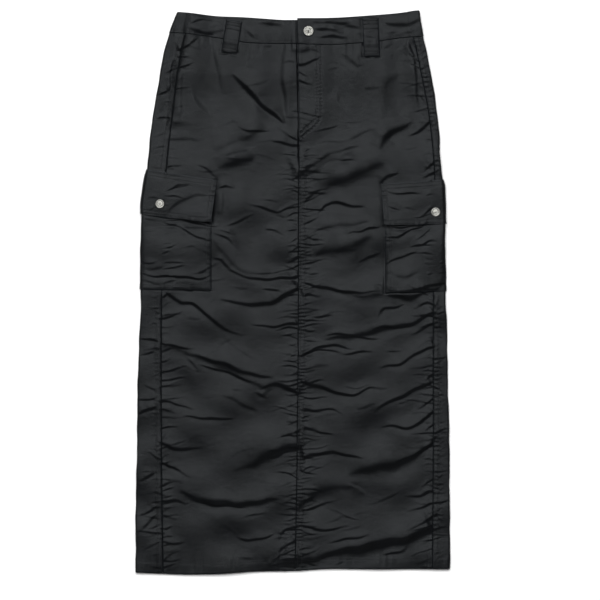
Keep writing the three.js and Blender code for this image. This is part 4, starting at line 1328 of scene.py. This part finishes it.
band_lines = []
for left, right in ((-176, 6), (9.5, 196)):
    x = steps_between(left, right)
    band_lines.append(on_front(x, FRONT_EDGE["seam"](x) + BAND_ROWS, BAND_RAISE + LIFT))
    top = FRONT_EDGE["top"](np.clip(x, None, LEFT_TOP_ENDS) if right < 8 else np.clip(x, RIGHT_TOP_STARTS, None))
    band_lines.append(on_front(x, top - BAND_ROWS, BAND_RAISE + LIFT))
stitches_band = sew("stitches_band", band_lines)

pocket_lines = []
for which, pocket in POCKETS.items():
    side = pocket["side"]
    for row in POCKET_ROWS:
        y = steps_between(pocket["bottom"][0] + row, pocket["flap_bottom"][0] + 4)
        around = np.full_like(y, pocket["front"] + row)
        high = LAYER + pocket_puff(pocket, around, y) + LIFT + 0.2
        pocket_lines.append(on_skirt(side, around, y, high))
        around = steps_between(pocket["front"] + row, float(flat_end(side, 0)) + TURN / 2)
        y = sloped(pocket["bottom"], pocket["front"], around) + row
        high = LAYER + pocket_puff(pocket, around, y) + LIFT + 0.2
        pocket_lines.append(on_skirt(side, around, y, high))
    around, y, bottom, top, front, t = flap_grid(pocket, 60)
    offset = flap_offset(pocket, around, y, top, front, t) + FLAP_CLOTH + LIFT
    for row in FLAP_ROWS:
        # down the front edge, along the free edge, and along the sewn top
        column = int(np.argmin(np.abs(NEAR_EDGE - np.array(row))))
        rows = slice(2, -2)
        pocket_lines.append(on_skirt(side, around[column, rows], y[column, rows], offset[column, rows]))
        for share in (row / 70, 1 - row / 70):
            k = int(np.argmin(np.abs(t[0] - share)))
            pocket_lines.append(on_skirt(side, around[2:63, k], y[2:63, k], offset[2:63, k]))
stitches_pockets = sew("stitches_pockets", pocket_lines)

bar_lines = []
for which, ends in FRONT_LOOPS.items():
    seam_y = float(FRONT_EDGE["seam"](ends[2]))
    for bar in LOOP_BARS:
        for step in (-0.8, 0, 0.8):
            aside = np.linspace(-11.5, 11.5, 14)
            length = math.hypot(ends[0] - ends[2], ends[1] - ends[3])
            t = bar + step / length
            x, y, length = loop_place(ends, aside, t)
            high = float(loop_offset(ends, np.array(t), length, seam_y)) + LOOP_CLOTH + 0.2
            bar_lines.append(on_front(x, y, high))
# bartacks at the hand pocket in the left side seam, and at the foot of the fly
for x0, y0, x1, y1 in ((-202, 377, -190, 379), (-203, 350, -194, 350), (12, 262, 20, 256)):
    for step in (-0.8, 0, 0.8):
        x = np.linspace(x0, x1, 6)
        y = np.linspace(y0, y1, 6) + step
        bar_lines.append(on_front(x, y, 0.35 + LIFT))
stitches_bars = sew("stitches_bars", bar_lines, 1.5, 1.6, 0.7)


# Declarations
for name, piece in pieces.items():
    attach(piece, "root")
    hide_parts(name)
for piece in (stitches_panels, stitches_band, stitches_pockets, stitches_bars):
    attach(piece, "root")


# Floor, light and camera
def board_floor(size=6.0, cells=12):
    line = (np.arange(cells + 1) / cells - 0.5) * size / MM
    points = [(x, y, -0.05) for x in line for y in line]
    index = np.arange((cells + 1) ** 2).reshape(cells + 1, cells + 1)
    faces = np.stack([index[:-1, :-1], index[1:, :-1], index[1:, 1:], index[:-1, 1:]], -1).reshape(-1, 4)
    return mesh_object("floor", points, faces.tolist(), BOARD)


floor = board_floor()


def soft_light(name, place, size, power):
    light = bpy.data.lights.new(name, "AREA")
    light.shape = "RECTANGLE"
    light.size, light.size_y = size
    light.energy = power
    lamp = bpy.data.objects.new(name, light)
    lamp.location = place
    aim = -np.array(place)
    lamp.rotation_euler = mathutils_track(aim)
    bpy.context.scene.collection.objects.link(lamp)


def mathutils_track(direction):
    """Rotation of a light that looks along a direction."""
    from mathutils import Vector
    return Vector(direction).to_track_quat("-Z", "Y").to_euler()


soft_light("key_from_waist", (-0.4, 1.75, 4.7), (4.2, 3.2), 415)
soft_light("fill_from_hem", (0.9, -3.4, 1.3), (3.4, 1.6), 9)
world = bpy.data.worlds.new("studio")
world.use_nodes = True
world.node_tree.nodes["Background"].inputs["Color"].default_value = linear("#f4f6f8")
world.node_tree.nodes["Background"].inputs["Strength"].default_value = 0.025
bpy.context.scene.world = world
bpy.context.scene.view_settings.view_transform = "Standard"

camera_data = bpy.data.cameras.new("camera")
camera_data.lens = 200
camera_data.sensor_width = 36
camera = bpy.data.objects.new("camera", camera_data)
camera.location = (12.5 * MM, -12.8 * MM, 5.564)
bpy.context.scene.collection.objects.link(camera)
bpy.context.scene.camera = camera
